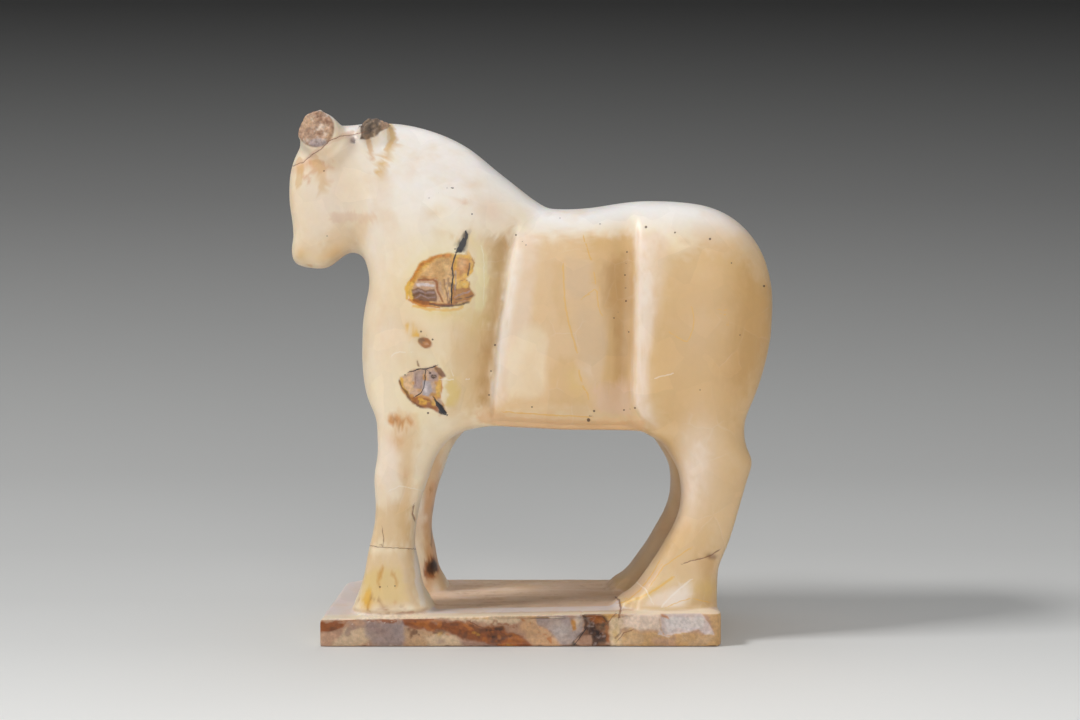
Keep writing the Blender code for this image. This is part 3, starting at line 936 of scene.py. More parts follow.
def oval(x, y, reach, reach_across, turn):
    """1 inside an ellipse and 0 outside, over a narrow edge."""
    return lambda seen_at: eased(
        np.log(blob(seen_at, x, y, reach, reach_across, turn) + 1e-9) + 1 + 0.3 * ripple, -0.25, 0.25
    )


def flecks(amount, size, mark, seed=97):
    """A mark broken into flecks of about that size, which cover about that share of it."""
    grain = cloud(spots, size * MM, seed) + 0.5 * cloud(spots, size / 2 * MM, seed + 1)
    return lambda seen_at: mark(seen_at) * eased(grain, 0.9 - 1.8 * amount, 1.3 - 1.8 * amount)


def streak(half_width, line):
    """1 on a line, and 0 beyond its half width."""
    return lambda seen_at: eased(half_width * (1 + 0.5 * ripple) - from_line(seen_at, line)[0], 0, 1)


def patch(softness, outline):
    """1 inside an outline and 0 outside, over a soft edge."""
    return lambda seen_at: eased(
        depth_inside(seen_at, outline) + softness * ripple * 0.5, -softness / 2, softness / 2
    )


paint = np.tile(PALETTE["cream"], (len(spots), 1))


def wash(layers):
    """Moves the paint towards each colour in turn, by strength times the share at each point."""
    for colour, strength, share in layers:
        paint[:] += (PALETTE[colour] - paint) * (strength * share)[:, None]


def glaze(marks, seen_at, where):
    """Washes with each mark of a table, where the eye sees it and as far as the place allows."""
    wash((colour, strength, mark(seen_at) * where) for colour, strength, mark in marks)


# %% [markdown]
# ## The ground
# Under all marks lies the stone's own drift of colours, which goes through the whole block: broad honey
# clouds, milky clouds, and thin layers as the mineral settled. It also colours all that the picture does
# not show. Two washes here stand for light rather than stone: a pale frost on faces that look up, a painted
# reflection of the overhead softbox, and a deeper amber at the bull's back end, partly painted shade.

# %% Ground
drift = clouds(spots * (1, 1, 0.7), 0.034, 71)
milky = clouds(spots, 0.028, 75)
blush = clouds(spots, 0.022, 79)
layers = np.sin((spots[:, 0] + 0.7 * spots[:, 2] + 0.010 * drift) * 2 * np.pi / 0.017)
hidden = 1 - 0.65 * near
wash((
    ("honey", 0.65, eased(drift, 0.0, 0.6) * hidden),
    ("sand", 0.30, eased(layers, 0.3, 1.0) * hidden),
    ("milk", 0.60, eased(milky, 0.15, 0.6) * hidden),
    ("rose", 0.35, eased(blush, 0.2, 0.7) * hidden),
    # painted reflection: faces that look up, high on the back and neck, are washed pale frost for the
    # overhead softbox's sheen
    ("frost", 0.85, eased(normals[:, 2], 0.30, 0.80) * eased(spots[:, 2], 0.12, 0.16)),
    ("honey", 0.60, eased(spots[:, 0], -0.035, 0.050) * eased(-spots[:, 2], -0.185, -0.150)),
    # partly painted shade: the back end, turned from the key light, is washed deeper amber over the stone's
    # own honey
    ("amber", 0.45, eased(spots[:, 0], 0.070, 0.112) * eased(spots[:, 2], 0.015, 0.03)),
))

# %% [markdown]
# ## Head and neck
# The neck is nearly white, partly its own milky stone and partly a painted highlight where it faces the key
# light, with a lilac tinge. The cheek and the muzzle are honey, and stains run down from the broken ear and
# from the crack across the brow.

# %% Head and neck marks
# colour, strength and mark, here and in the tables below
HEAD_MARKS = (
    # partly painted highlight: the neck's broad milk white, where it faces the key light
    ("milk", 0.85, stain(432, 178, 92, 58, 28)),
    ("lilac", 0.20, stain(450, 165, 40, 26, 35)),
    ("shell", 0.55, stain(322, 200, 34, 48, 0)),
    ("honey", 0.38, patch(16, (
        (322, 262), (326, 238), (338, 222), (366, 216), (372, 226), (362, 244), (340, 262)
    ))),
    ("gold", 0.15, patch(12, ((296, 250), (318, 244), (342, 248), (332, 266), (304, 268)))),
    ("ochre", 0.50, flecks(0.5, 2.4, streak(2.4, ((298, 252), (303, 262), (312, 267))))),
    ("orange", 0.45, flecks(0.5, 3.0, patch(4, (
        (296, 172), (310, 158), (334, 160), (330, 186), (300, 184)
    )), 191)),
    # partly painted highlight: milk white down the front of the neck
    ("milk", 0.50, patch(14, ((374, 180), (420, 150), (440, 240), (384, 300), (366, 250)))),
    ("rose", 0.50, streak(5, ((332, 218), (350, 217), (372, 219)))),
    ("gold", 0.28, stain(301, 254, 6, 7, 0)),
    ("sand", 0.35, stain(350, 188, 18, 22, 20)),
    ("orange", 0.55, stain(303, 166, 11, 4, -28)),
    ("honey", 0.60, streak(4, ((299, 160), (300, 172), (297, 186)))),
    ("honey", 0.50, streak(5, ((314, 158), (320, 170), (322, 190)))),
    ("peach", 0.45, stain(330, 160, 18, 12, -20)),
    ("rose", 0.55, streak(3, ((296, 164), (306, 160), (320, 148), (332, 139), (352, 133)))),
    ("soot", 0.85, oval(352.5, 141.5, 2.4, 4.2, 10)),
    ("mauve", 0.60, stain(352, 139, 5, 7, 0)),
    ("ash", 0.50, stain(366, 135, 9, 6, -25)),
    ("ochre", 0.50, streak(3.0, ((367, 137), (370, 147), (373, 160)))),
    ("bark", 0.45, stain(368, 141, 4, 6, -10)),
    ("gold", 0.55, streak(3.0, ((390, 124), (392, 138), (387, 150), (381, 164), (378, 172)))),
    ("honey", 0.55, streak(5.0, ((391, 130), (391, 146), (384, 160), (378, 175)))),
    ("milk", 0.80, stain(380, 146, 4.5, 11, 14)),
    ("milk", 0.90, streak(2.0, ((422, 156), (418, 170), (415, 187)))),
    ("milk", 0.80, stain(421, 181, 8, 4, -40)),
    ("shell", 0.50, stain(409, 176, 8, 7, 0)),
    ("orange", 0.45, streak(1.6, ((427, 214), (434, 210), (442, 207)))),
    ("honey", 0.45, stain(434, 212, 12, 5, -25)),
    ("orange", 0.50, stain(466, 202, 5, 2.4, -5)),
    ("straw", 0.80, stain(454.5, 198.5, 1.7, 2.2, 0)),
    ("honey", 0.30, stain(474, 185, 9, 4, 0)),
    ("honey", 0.40, stain(383, 178, 5, 3, 0)),
    ("rose", 0.45, stain(490, 212, 15, 12, 30)),
)
glaze(HEAD_MARKS, view + 1.2 * sway + 0.15 * fine_sway, near)

# %% [markdown]
# ## Shoulder and flank
# Where the stone falls away into a crease it is painted down to honey and amber, partly its own colour and
# partly painted shade, and on the crease's bright edge it starts again pinkish white, a painted highlight.
# Between the creases the crystals meet along straight lines.

# %% Shoulder and flank marks
FLANK_MARKS = (
    ("shell", 0.45, stain(392, 330, 22, 70, 0)),
    ("pale_yellow", 0.35, stain(440, 275, 52, 50, 0)),
    ("peach", 0.35, stain(392, 300, 30, 70, 0)),
    # partly painted shade: honey where the flank falls away into the shoulder crease, away from the key
    # light
    ("honey", 0.45, stain(470, 345, 34, 66, 0)),
    ("honey", 0.70, patch(26, (
        (440, 236), (512, 232), (505, 266), (500, 300), (494, 332), (492, 365), (489, 408),
        (450, 408), (452, 350), (474, 312), (482, 262), (468, 244)
    ))),
    # partly painted shade: amber deepening into the shoulder crease
    ("amber", 0.80, patch(14, (
        (494, 240), (513, 234), (507, 266), (502, 300), (496, 332), (493, 365), (490, 408),
        (478, 404), (482, 350), (490, 300)
    ))),
    ("straw", 0.35, stain(472, 322, 14, 12, 0)),
    # painted highlight: pinkish white on the shoulder crease's bright edge, which turns to the key light
    ("shell", 0.95, patch(7, (
        (517, 232), (541, 238), (533, 290), (528, 345), (516, 388), (502, 406), (491, 408),
        (495, 365), (497, 332), (503, 300), (508, 266)
    ))),
    # painted highlight: milk along the shoulder crease's bright edge
    ("milk", 0.55, patch(6, (
        (514, 250), (524, 250), (514, 300), (508, 345), (500, 392), (493, 400), (496, 350), (504, 300)
    ))),
    ("peach", 0.60, patch(18, ((541, 240), (634, 236), (632, 412), (502, 408), (528, 345)))),
    ("honey", 0.35, patch(18, ((520, 240), (634, 236), (632, 416), (492, 412), (510, 300)))),
    ("cream", 0.55, patch(8, ((506, 352), (528, 326), (548, 330), (545, 395), (508, 400)))),
    ("honey", 0.50, patch(7, ((552, 262), (563, 258), (566, 300), (572, 330), (562, 320), (552, 296)))),
    ("sand", 0.60, patch(4, ((566, 256), (592, 262), (596, 290), (582, 298), (564, 286)))),
    # partly painted shade: honey where the flank falls away into the haunch crease, away from the key light
    ("honey", 0.80, patch(5, (
        (588, 240), (636, 236), (633, 300), (632, 340), (630, 400), (606, 400), (602, 372),
        (608, 340), (600, 312), (598, 290), (592, 262)
    ))),
    # partly painted shade: amber deepening into the haunch crease
    ("amber", 0.65, patch(12, (
        (604, 262), (634, 250), (633, 300), (631, 346), (628, 392), (616, 380), (612, 330), (602, 300)
    ))),
    ("sand", 0.55, patch(7, ((576, 304), (600, 312), (608, 342), (602, 384), (582, 384), (574, 340)))),
    ("shell", 0.30, stain(590, 370, 9, 7, 0)),
    ("honey", 0.65, patch(8, ((548, 364), (574, 356), (582, 384), (592, 404), (548, 404)))),
    ("straw", 0.35, stain(577, 384, 8, 16, -10)),
    ("rose", 0.55, patch(8, ((594, 388), (630, 384), (632, 414), (600, 414)))),
    ("orange", 0.35, streak(6, ((484, 418), (532, 424), (590, 428), (640, 424)))),
    ("peach", 0.55, streak(9, ((484, 416), (532, 422), (590, 426), (640, 422)))),
    # painted highlight: pinkish white on the haunch crease's bright edge, which turns to the key light
    ("shell", 0.90, patch(9, (
        (636, 232), (668, 234), (662, 282), (655, 332), (648, 362), (650, 400), (658, 426),
        (642, 418), (633, 404), (634, 340)
    ))),
    # painted highlight: milk along the haunch crease's bright edge
    ("milk", 0.45, stain(645, 300, 8, 40, 2)),
)
glaze(FLANK_MARKS, view + 2.0 * sway + 0.6 * fine_sway, near)

# %% [markdown]
# ## Haunch, rump and legs
# Behind the second crease the stone turns to honey, and it is darkest at the rump's end, partly its own
# amber and partly painted shade on the side turned from the key light. The back's top over the haunch and
# the near foreleg's back edge carry painted highlights. The legs are warm too, with small rusty stains near
# the feet.

# %% Haunch and leg marks
LEG_MARKS = (
    ("honey", 0.55, patch(30, ((650, 250), (740, 246), (766, 300), (744, 400), (700, 560), (646, 420)))),
    ("amber", 0.35, patch(20, ((676, 280), (744, 270), (762, 330), (730, 420), (670, 420), (658, 350)))),
    ("honey", 0.70, patch(16, (
        (672, 262), (700, 250), (744, 262), (768, 300), (764, 340), (744, 392), (716, 424),
        (676, 430), (652, 396), (648, 360), (655, 336), (662, 296)
    ))),
    # partly painted shade: amber on the rump's right edge, turned from the key light
    ("amber", 0.45, patch(26, ((742, 270), (775, 290), (772, 350), (744, 396), (722, 380), (738, 330)))),
    ("sand", 0.40, stain(700, 330, 18, 30, 10)),
    # painted highlight: milk on the back's top over the haunch, where it faces the overhead softbox
    ("milk", 0.35, stain(690, 222, 46, 14, 8)),
    ("peach", 0.45, stain(716, 240, 24, 14, 20)),
    ("shell", 0.85, stain(694, 472, 18, 48, 8)),
    ("honey", 0.60, patch(16, ((650, 432), (676, 440), (680, 500), (668, 548), (656, 560), (664, 500)))),
    ("honey", 0.45, patch(16, ((672, 530), (710, 520), (712, 556), (718, 606), (690, 606), (672, 566)))),
    ("amber", 0.45, patch(10, ((696, 556), (714, 560), (720, 606), (688, 608), (700, 580)))),
    ("straw", 0.40, stain(704, 590, 14, 10, 0)),
    ("shell", 0.65, patch(5, ((640, 606), (654, 594), (684, 586), (694, 594), (684, 606)))),
    ("straw", 0.35, streak(2.4, ((672, 578), (655, 590), (640, 598), (622, 604)))),
    ("rose", 0.45, patch(6, ((612, 592), (634, 578), (656, 572), (650, 586), (628, 600)))),
    ("rust", 0.50, stain(636, 570, 4, 2.4, -30)),
    ("bark", 0.75, stain(712, 556, 5, 3.4, 10)),
    ("shell", 0.80, stain(390, 462, 18, 46, 0)),
    ("honey", 0.60, patch(12, ((398, 436), (420, 426), (414, 480), (410, 540), (398, 540), (400, 480)))),
    ("honey", 0.60, patch(16, ((374, 506), (412, 506), (414, 545), (368, 545)))),
    ("honey", 0.55, patch(12, ((366, 550), (414, 550), (420, 606), (358, 606)))),
    ("straw", 0.50, patch(9, ((364, 572), (400, 566), (408, 600), (360, 604)))),
    # painted highlight: a milk line down the near foreleg's back edge, where its rounded edge catches the
    # light
    ("milk", 0.60, streak(3.5, ((417, 548), (418, 580), (422, 604)))),
    ("orange", 0.45, stain(399, 442, 5, 4, 20)),
    ("peach", 0.50, stain(399, 440, 12, 9, 20)),
    ("orange", 0.40, stain(406, 473, 2.5, 5, 15)),
    ("peach", 0.70, patch(5, ((386, 415), (400, 410), (418, 414), (418, 428), (396, 430)))),
    ("orange", 0.80, flecks(0.75, 2.4, patch(2, (
        (388, 416), (396, 414), (402, 418), (411, 416), (414, 424), (408, 429), (398, 424), (390, 423)
    )), 143)),
    ("rust", 0.55, flecks(0.45, 1.6, patch(2, ((388, 416), (411, 416), (414, 425), (398, 426))), 145)),
    ("ochre", 0.70, flecks(0.8, 2.0, streak(2.2, ((384, 569), (380, 576), (379, 586))))),
    ("ochre", 0.60, flecks(0.8, 2.0, streak(1.6, ((390, 572), (394, 577), (396, 586))))),
    ("gold", 0.70, flecks(0.7, 2.6, streak(3.0, ((371, 588), (367, 598), (362, 606))))),
    ("rust", 0.65, streak(1.5, ((371, 598), (368, 603), (367, 610)))),
    ("gold", 0.65, stain(367, 604, 5, 7, 10)),
    ("rust", 0.65, stain(384, 609, 3.6, 2.2, 0)),
    ("rust", 0.60, stain(399.5, 607.5, 1.8, 1.4, 0)),
    ("rust", 0.50, flecks(0.25, 1.2, patch(3, ((358, 598), (416, 598), (424, 613), (354, 613))), 199)),
    ("milk", 0.35, patch(6, ((664, 606), (672, 592), (690, 580), (692, 590), (680, 606)))),
    ("sand", 0.45, patch(5, ((628, 592), (648, 572), (664, 556), (668, 566), (650, 584)))),
    ("orange", 0.60, stain(396, 601, 1.5, 1.5, 0)),
)
glaze(LEG_MARKS, view + 1.2 * sway + 0.5 * fine_sway, near)
FAR_FORELEG_MARKS = (
    # partly painted shade: the far foreleg, standing behind the near one, is washed honey and orange over
    # its own colour
    ("honey", 0.60, patch(8, ((424, 440), (440, 430), (446, 600), (424, 600)))),
    ("orange", 0.35, patch(8, ((426, 480), (438, 480), (444, 570), (426, 590)))),
    ("bark", 0.60, streak(1.3, ((434, 508), (433, 526), (431, 546)))),
    ("rust", 0.55, streak(1.2, ((428, 486), (431, 490), (435, 492)))),
    ("rust", 0.85, flecks(0.8, 3.0, oval(431, 568, 8.5, 11.5, 12))),
    ("umber", 0.90, oval(432, 567, 5.5, 7.5, 12)),
    ("soot", 0.60, oval(433, 565, 3.0, 4.0, 12)),
    ("milk", 0.40, stain(436, 590, 5, 9, 0)),
)
glaze(FAR_FORELEG_MARKS, view + 0.8 * fine_sway, far_seen)

# %% [markdown]
# ## The shoulder's inclusions
# Two pockets in the shoulder filled with other minerals while the stone grew. They were polished
# with the rest, so they are nearly flat. Each has a rusty rim, bands like an agate's and a black
# seam. A small oval lies between them.

# %% Inclusion marks
POCKET = (
    (406.5, 292.5), (408, 283), (412.5, 274), (420.5, 263), (431, 256.5), (441, 253.5), (451.5, 253),
    (456, 255), (461, 253.5), (470, 254), (475, 262), (473.5, 271), (467, 278), (469.5, 286),
    (473, 295), (469, 303), (458, 306.5), (441, 307), (422, 306.5), (410.5, 301.5),
)
POCKET_CORE = (
    (412, 291), (415, 280), (424, 267), (436, 260), (450, 257), (452, 268), (450, 304), (424, 302),
    (413, 298)
)
LOWER_POCKET = (
    (399, 383), (402.5, 376.5), (410.5, 369.5), (418, 368.5), (426, 367), (436, 365), (440.5, 368.5),
    (445.5, 375.5), (440.5, 381), (441.5, 391), (441.5, 399), (446.5, 412.5), (440, 414.5), (431, 409.5),
    (421, 407.5), (411.5, 403.5), (407.5, 395), (400.5, 389),
)
INCLUSION_MARKS = (
    ("pale_yellow", 0.60, stain(446, 280, 46, 38, 0)),
    ("pale_yellow", 0.75, streak(6, ((474, 242), (481, 252), (482, 278), (480, 307)))),
    ("straw", 0.45, stain(448, 313, 24, 6, 0)),
    ("peach", 0.50, streak(2, ((473, 238), (479, 241), (484, 246)))),
    ("gold", 0.90, patch(2.2, POCKET)),
    ("ochre", 0.75, flecks(0.6, 3.0, patch(3.0, POCKET))),
    ("peach", 0.60, patch(5, POCKET_CORE)),
    ("amber", 0.70, flecks(0.5, 4.0, patch(5, POCKET_CORE), 131)),
    ("orange", 0.85, streak(2.0, ((410, 281), (416, 271), (425, 262), (436, 256.5), (450, 255)))),
    ("rust", 0.45, flecks(0.4, 2.0, streak(2.6, ((408, 286), (416, 271), (430, 259), (450, 255))), 133)),
    ("gold", 0.90, streak(1.8, ((407, 299), (406.8, 290), (409, 281)))),
    ("clay", 0.75, patch(3, ((417, 279), (436, 278), (440, 290), (440, 303), (416, 300), (413, 288)))),
    ("lilac", 0.80, streak(1.8, ((418, 284.5), (427, 284), (433, 285.5)))),
    ("rust", 0.90, streak(1.6, (
        (418.5, 280), (426, 279), (433, 279), (436.5, 282), (437.5, 289), (440, 296), (443, 301)
    ))),
    ("orange", 0.60, streak(1.2, ((420, 277), (430, 276.5), (437, 278)))),
    ("bark", 0.85, patch(1.6, (
        (411.5, 290), (418, 288), (427, 290), (434.5, 289), (437, 296), (437, 302), (424, 302), (413, 299)
    ))),
    ("mauve", 0.75, streak(1.4, ((413, 292.5), (419, 290.5), (426, 293), (434, 292)))),
    ("mauve", 0.65, streak(1.3, ((415, 298), (421, 295), (428, 298), (435, 297)))),
    ("umber", 0.70, streak(0.9, ((412, 295.5), (419, 292.5), (427, 295.5), (435, 294.5)))),
    ("umber", 0.60, streak(1.0, ((416, 300), (425, 300.5), (435, 300.5)))),
    ("clay", 0.70, streak(1.1, ((440, 282), (441, 290), (444, 297)))),
    ("bark", 0.75, streak(1.2, ((443.5, 280), (444.5, 288), (447, 296), (449, 303)))),
    ("mauve", 0.75, streak(1.0, ((446, 283), (447.5, 292), (449.5, 299)))),
    ("bark", 0.80, flecks(0.55, 1.6, patch(2, ((447, 276), (457, 274), (459, 304), (447, 305))), 135)),
    ("ash", 0.65, streak(1.3, ((455.5, 272), (456, 284), (455.5, 292)))),
    ("rust", 0.70, patch(2, ((452, 290), (470, 287), (474, 296), (466, 302), (452, 304)))),
    ("mauve", 0.80, streak(1.0, ((455, 297), (462, 293), (470, 291.5)))),
    ("umber", 0.80, streak(0.9, ((455, 300), (463, 297.5), (472, 296)))),
    ("clay", 0.70, streak(0.9, ((457, 303), (464, 301), (469, 300)))),
    ("rust", 0.95, streak(2.2, ((414, 300.5), (424, 303), (438, 304.5), (452, 305)))),
    ("umber", 0.90, streak(1.4, ((430, 304.5), (441, 305.5), (452, 305.5), (462, 304.5), (469, 302.5)))),
    ("orange", 0.90, streak(1.6, ((409, 300), (414, 303), (424, 306), (440, 307.5)))),
    ("gold", 0.70, streak(1.8, ((414, 306), (430, 309.5), (450, 310), (462, 307.5)))),
    ("orange", 0.75, patch(3, ((458, 258), (466, 256), (470, 262), (468, 273), (460, 275), (457, 268)))),
    ("peach", 0.70, stain(462, 265, 3.5, 6.5, 0)),
    ("gold", 0.95, streak(1.8, ((462, 255), (470, 257), (474, 263), (472.5, 271), (466, 276)))),
    ("umber", 0.95, streak(1.2, ((469, 263), (469.3, 269), (468, 275)))),
    ("rust", 0.70, streak(1.2, ((472, 259), (475, 263), (473.5, 268)))),
    ("gold", 0.95, oval(465.5, 284.5, 5.0, 4.2, 20)),
    ("straw", 0.70, stain(465, 285, 2.2, 2.0, 0)),
    ("rust", 0.75, streak(1.0, ((460, 281), (465, 279.5), (470, 282), (470, 287)))),
    ("soot", 0.90, patch(1.0, (
        (465, 232), (468.5, 233), (468.5, 239), (466, 245), (467, 250), (463, 252), (458, 252.5),
        (455.5, 249), (456, 245), (460, 240), (463, 238)
    ))),
    ("honey", 0.55, stain(417, 333, 14, 7, 40)),
    ("gold", 0.85, flecks(0.6, 1.8, patch(4, (
        (406, 325), (414, 326), (421, 333), (418, 340), (410, 334)
    )), 137)),
    ("rust", 1.00, oval(425, 342.5, 7.8, 4.7, 28)),
    ("umber", 0.60, oval(421.5, 340, 4.0, 2.6, 28)),
    ("orange", 0.60, oval(426, 343, 4.2, 1.9, 28)),
    ("clay", 0.50, oval(427, 344, 2.6, 1.1, 28)),
    ("pale_yellow", 0.50, stain(424, 388, 34, 34, 0)),
    ("straw", 0.75, patch(5, ((447, 380), (458, 379), (460, 394), (455, 405), (447, 406)))),
    ("clay", 0.90, patch(2, LOWER_POCKET)),
    ("ochre", 0.80, flecks(0.5, 3.0, patch(3, LOWER_POCKET), 139)),
    ("peach", 0.75, patch(2, ((404, 378), (412, 374), (413, 390), (408, 394), (404, 387)))),
    ("mauve", 0.80, patch(2, ((413, 371), (423, 369), (422, 389), (414, 388)))),
    ("mauve", 0.70, patch(2, ((428, 370), (438, 372), (438, 382), (429, 382)))),
    ("ash", 0.85, patch(2, ((423, 380), (431, 381), (433, 391), (428, 397), (422, 395)))),
    ("lilac", 0.75, stain(426, 388, 2.0, 5.0, 0)),
    ("gold", 0.90, streak(1.8, ((402.5, 379), (403, 387), (408, 393)))),
    ("gold", 0.90, patch(2, ((438, 378), (442, 382), (441, 396), (437, 396), (435, 388)))),
    ("orange", 0.80, streak(1.2, ((441, 381), (441.5, 390), (441, 397)))),
    ("rust", 0.85, patch(2, (
        (409, 396), (416, 397), (428, 399), (438, 408), (438, 412), (424, 407), (413, 403)
    ))),
    ("gold", 0.75, flecks(0.5, 2.0, patch(2, ((412, 398), (434, 399), (438, 407), (416, 403))), 141)),
    ("bark", 0.85, patch(1.4, ((433, 366), (440, 367.5), (445.5, 376), (441, 377), (437, 371)))),
    ("umber", 0.90, oval(433.3, 376.5, 2.8, 2.4, 0)),
    ("clay", 0.80, oval(433.3, 376.5, 1.2, 1.0, 0)),
    ("bark", 0.90, streak(1.5, ((400, 381), (402, 387), (407, 392), (410, 400), (417, 405), (424, 407)))),
    ("bark", 0.90, streak(1.5, ((417.5, 361), (418.2, 365.5)))),
    ("bark", 0.60, streak(0.9, ((415.5, 373), (415, 384)))),
    ("soot", 0.95, patch(1.0, (
        (434, 399), (437, 401), (440, 404), (443, 407), (446.5, 412), (444, 415), (438.5, 413.5),
        (439, 409), (436, 404)
    ))),
)
glaze(INCLUSION_MARKS, view + 1.1 * fine_sway, near)

# %% [markdown]
# ## The plinth
# Its front shows the block's veins cut straight across: a lilac cloud, a rusty band that sinks towards the
# right, a bluish patch, and a dark blot. Its top is brownish in the worn bed between the feet, with a pale
# ledge before it that is partly the stone's colour and partly a painted highlight.

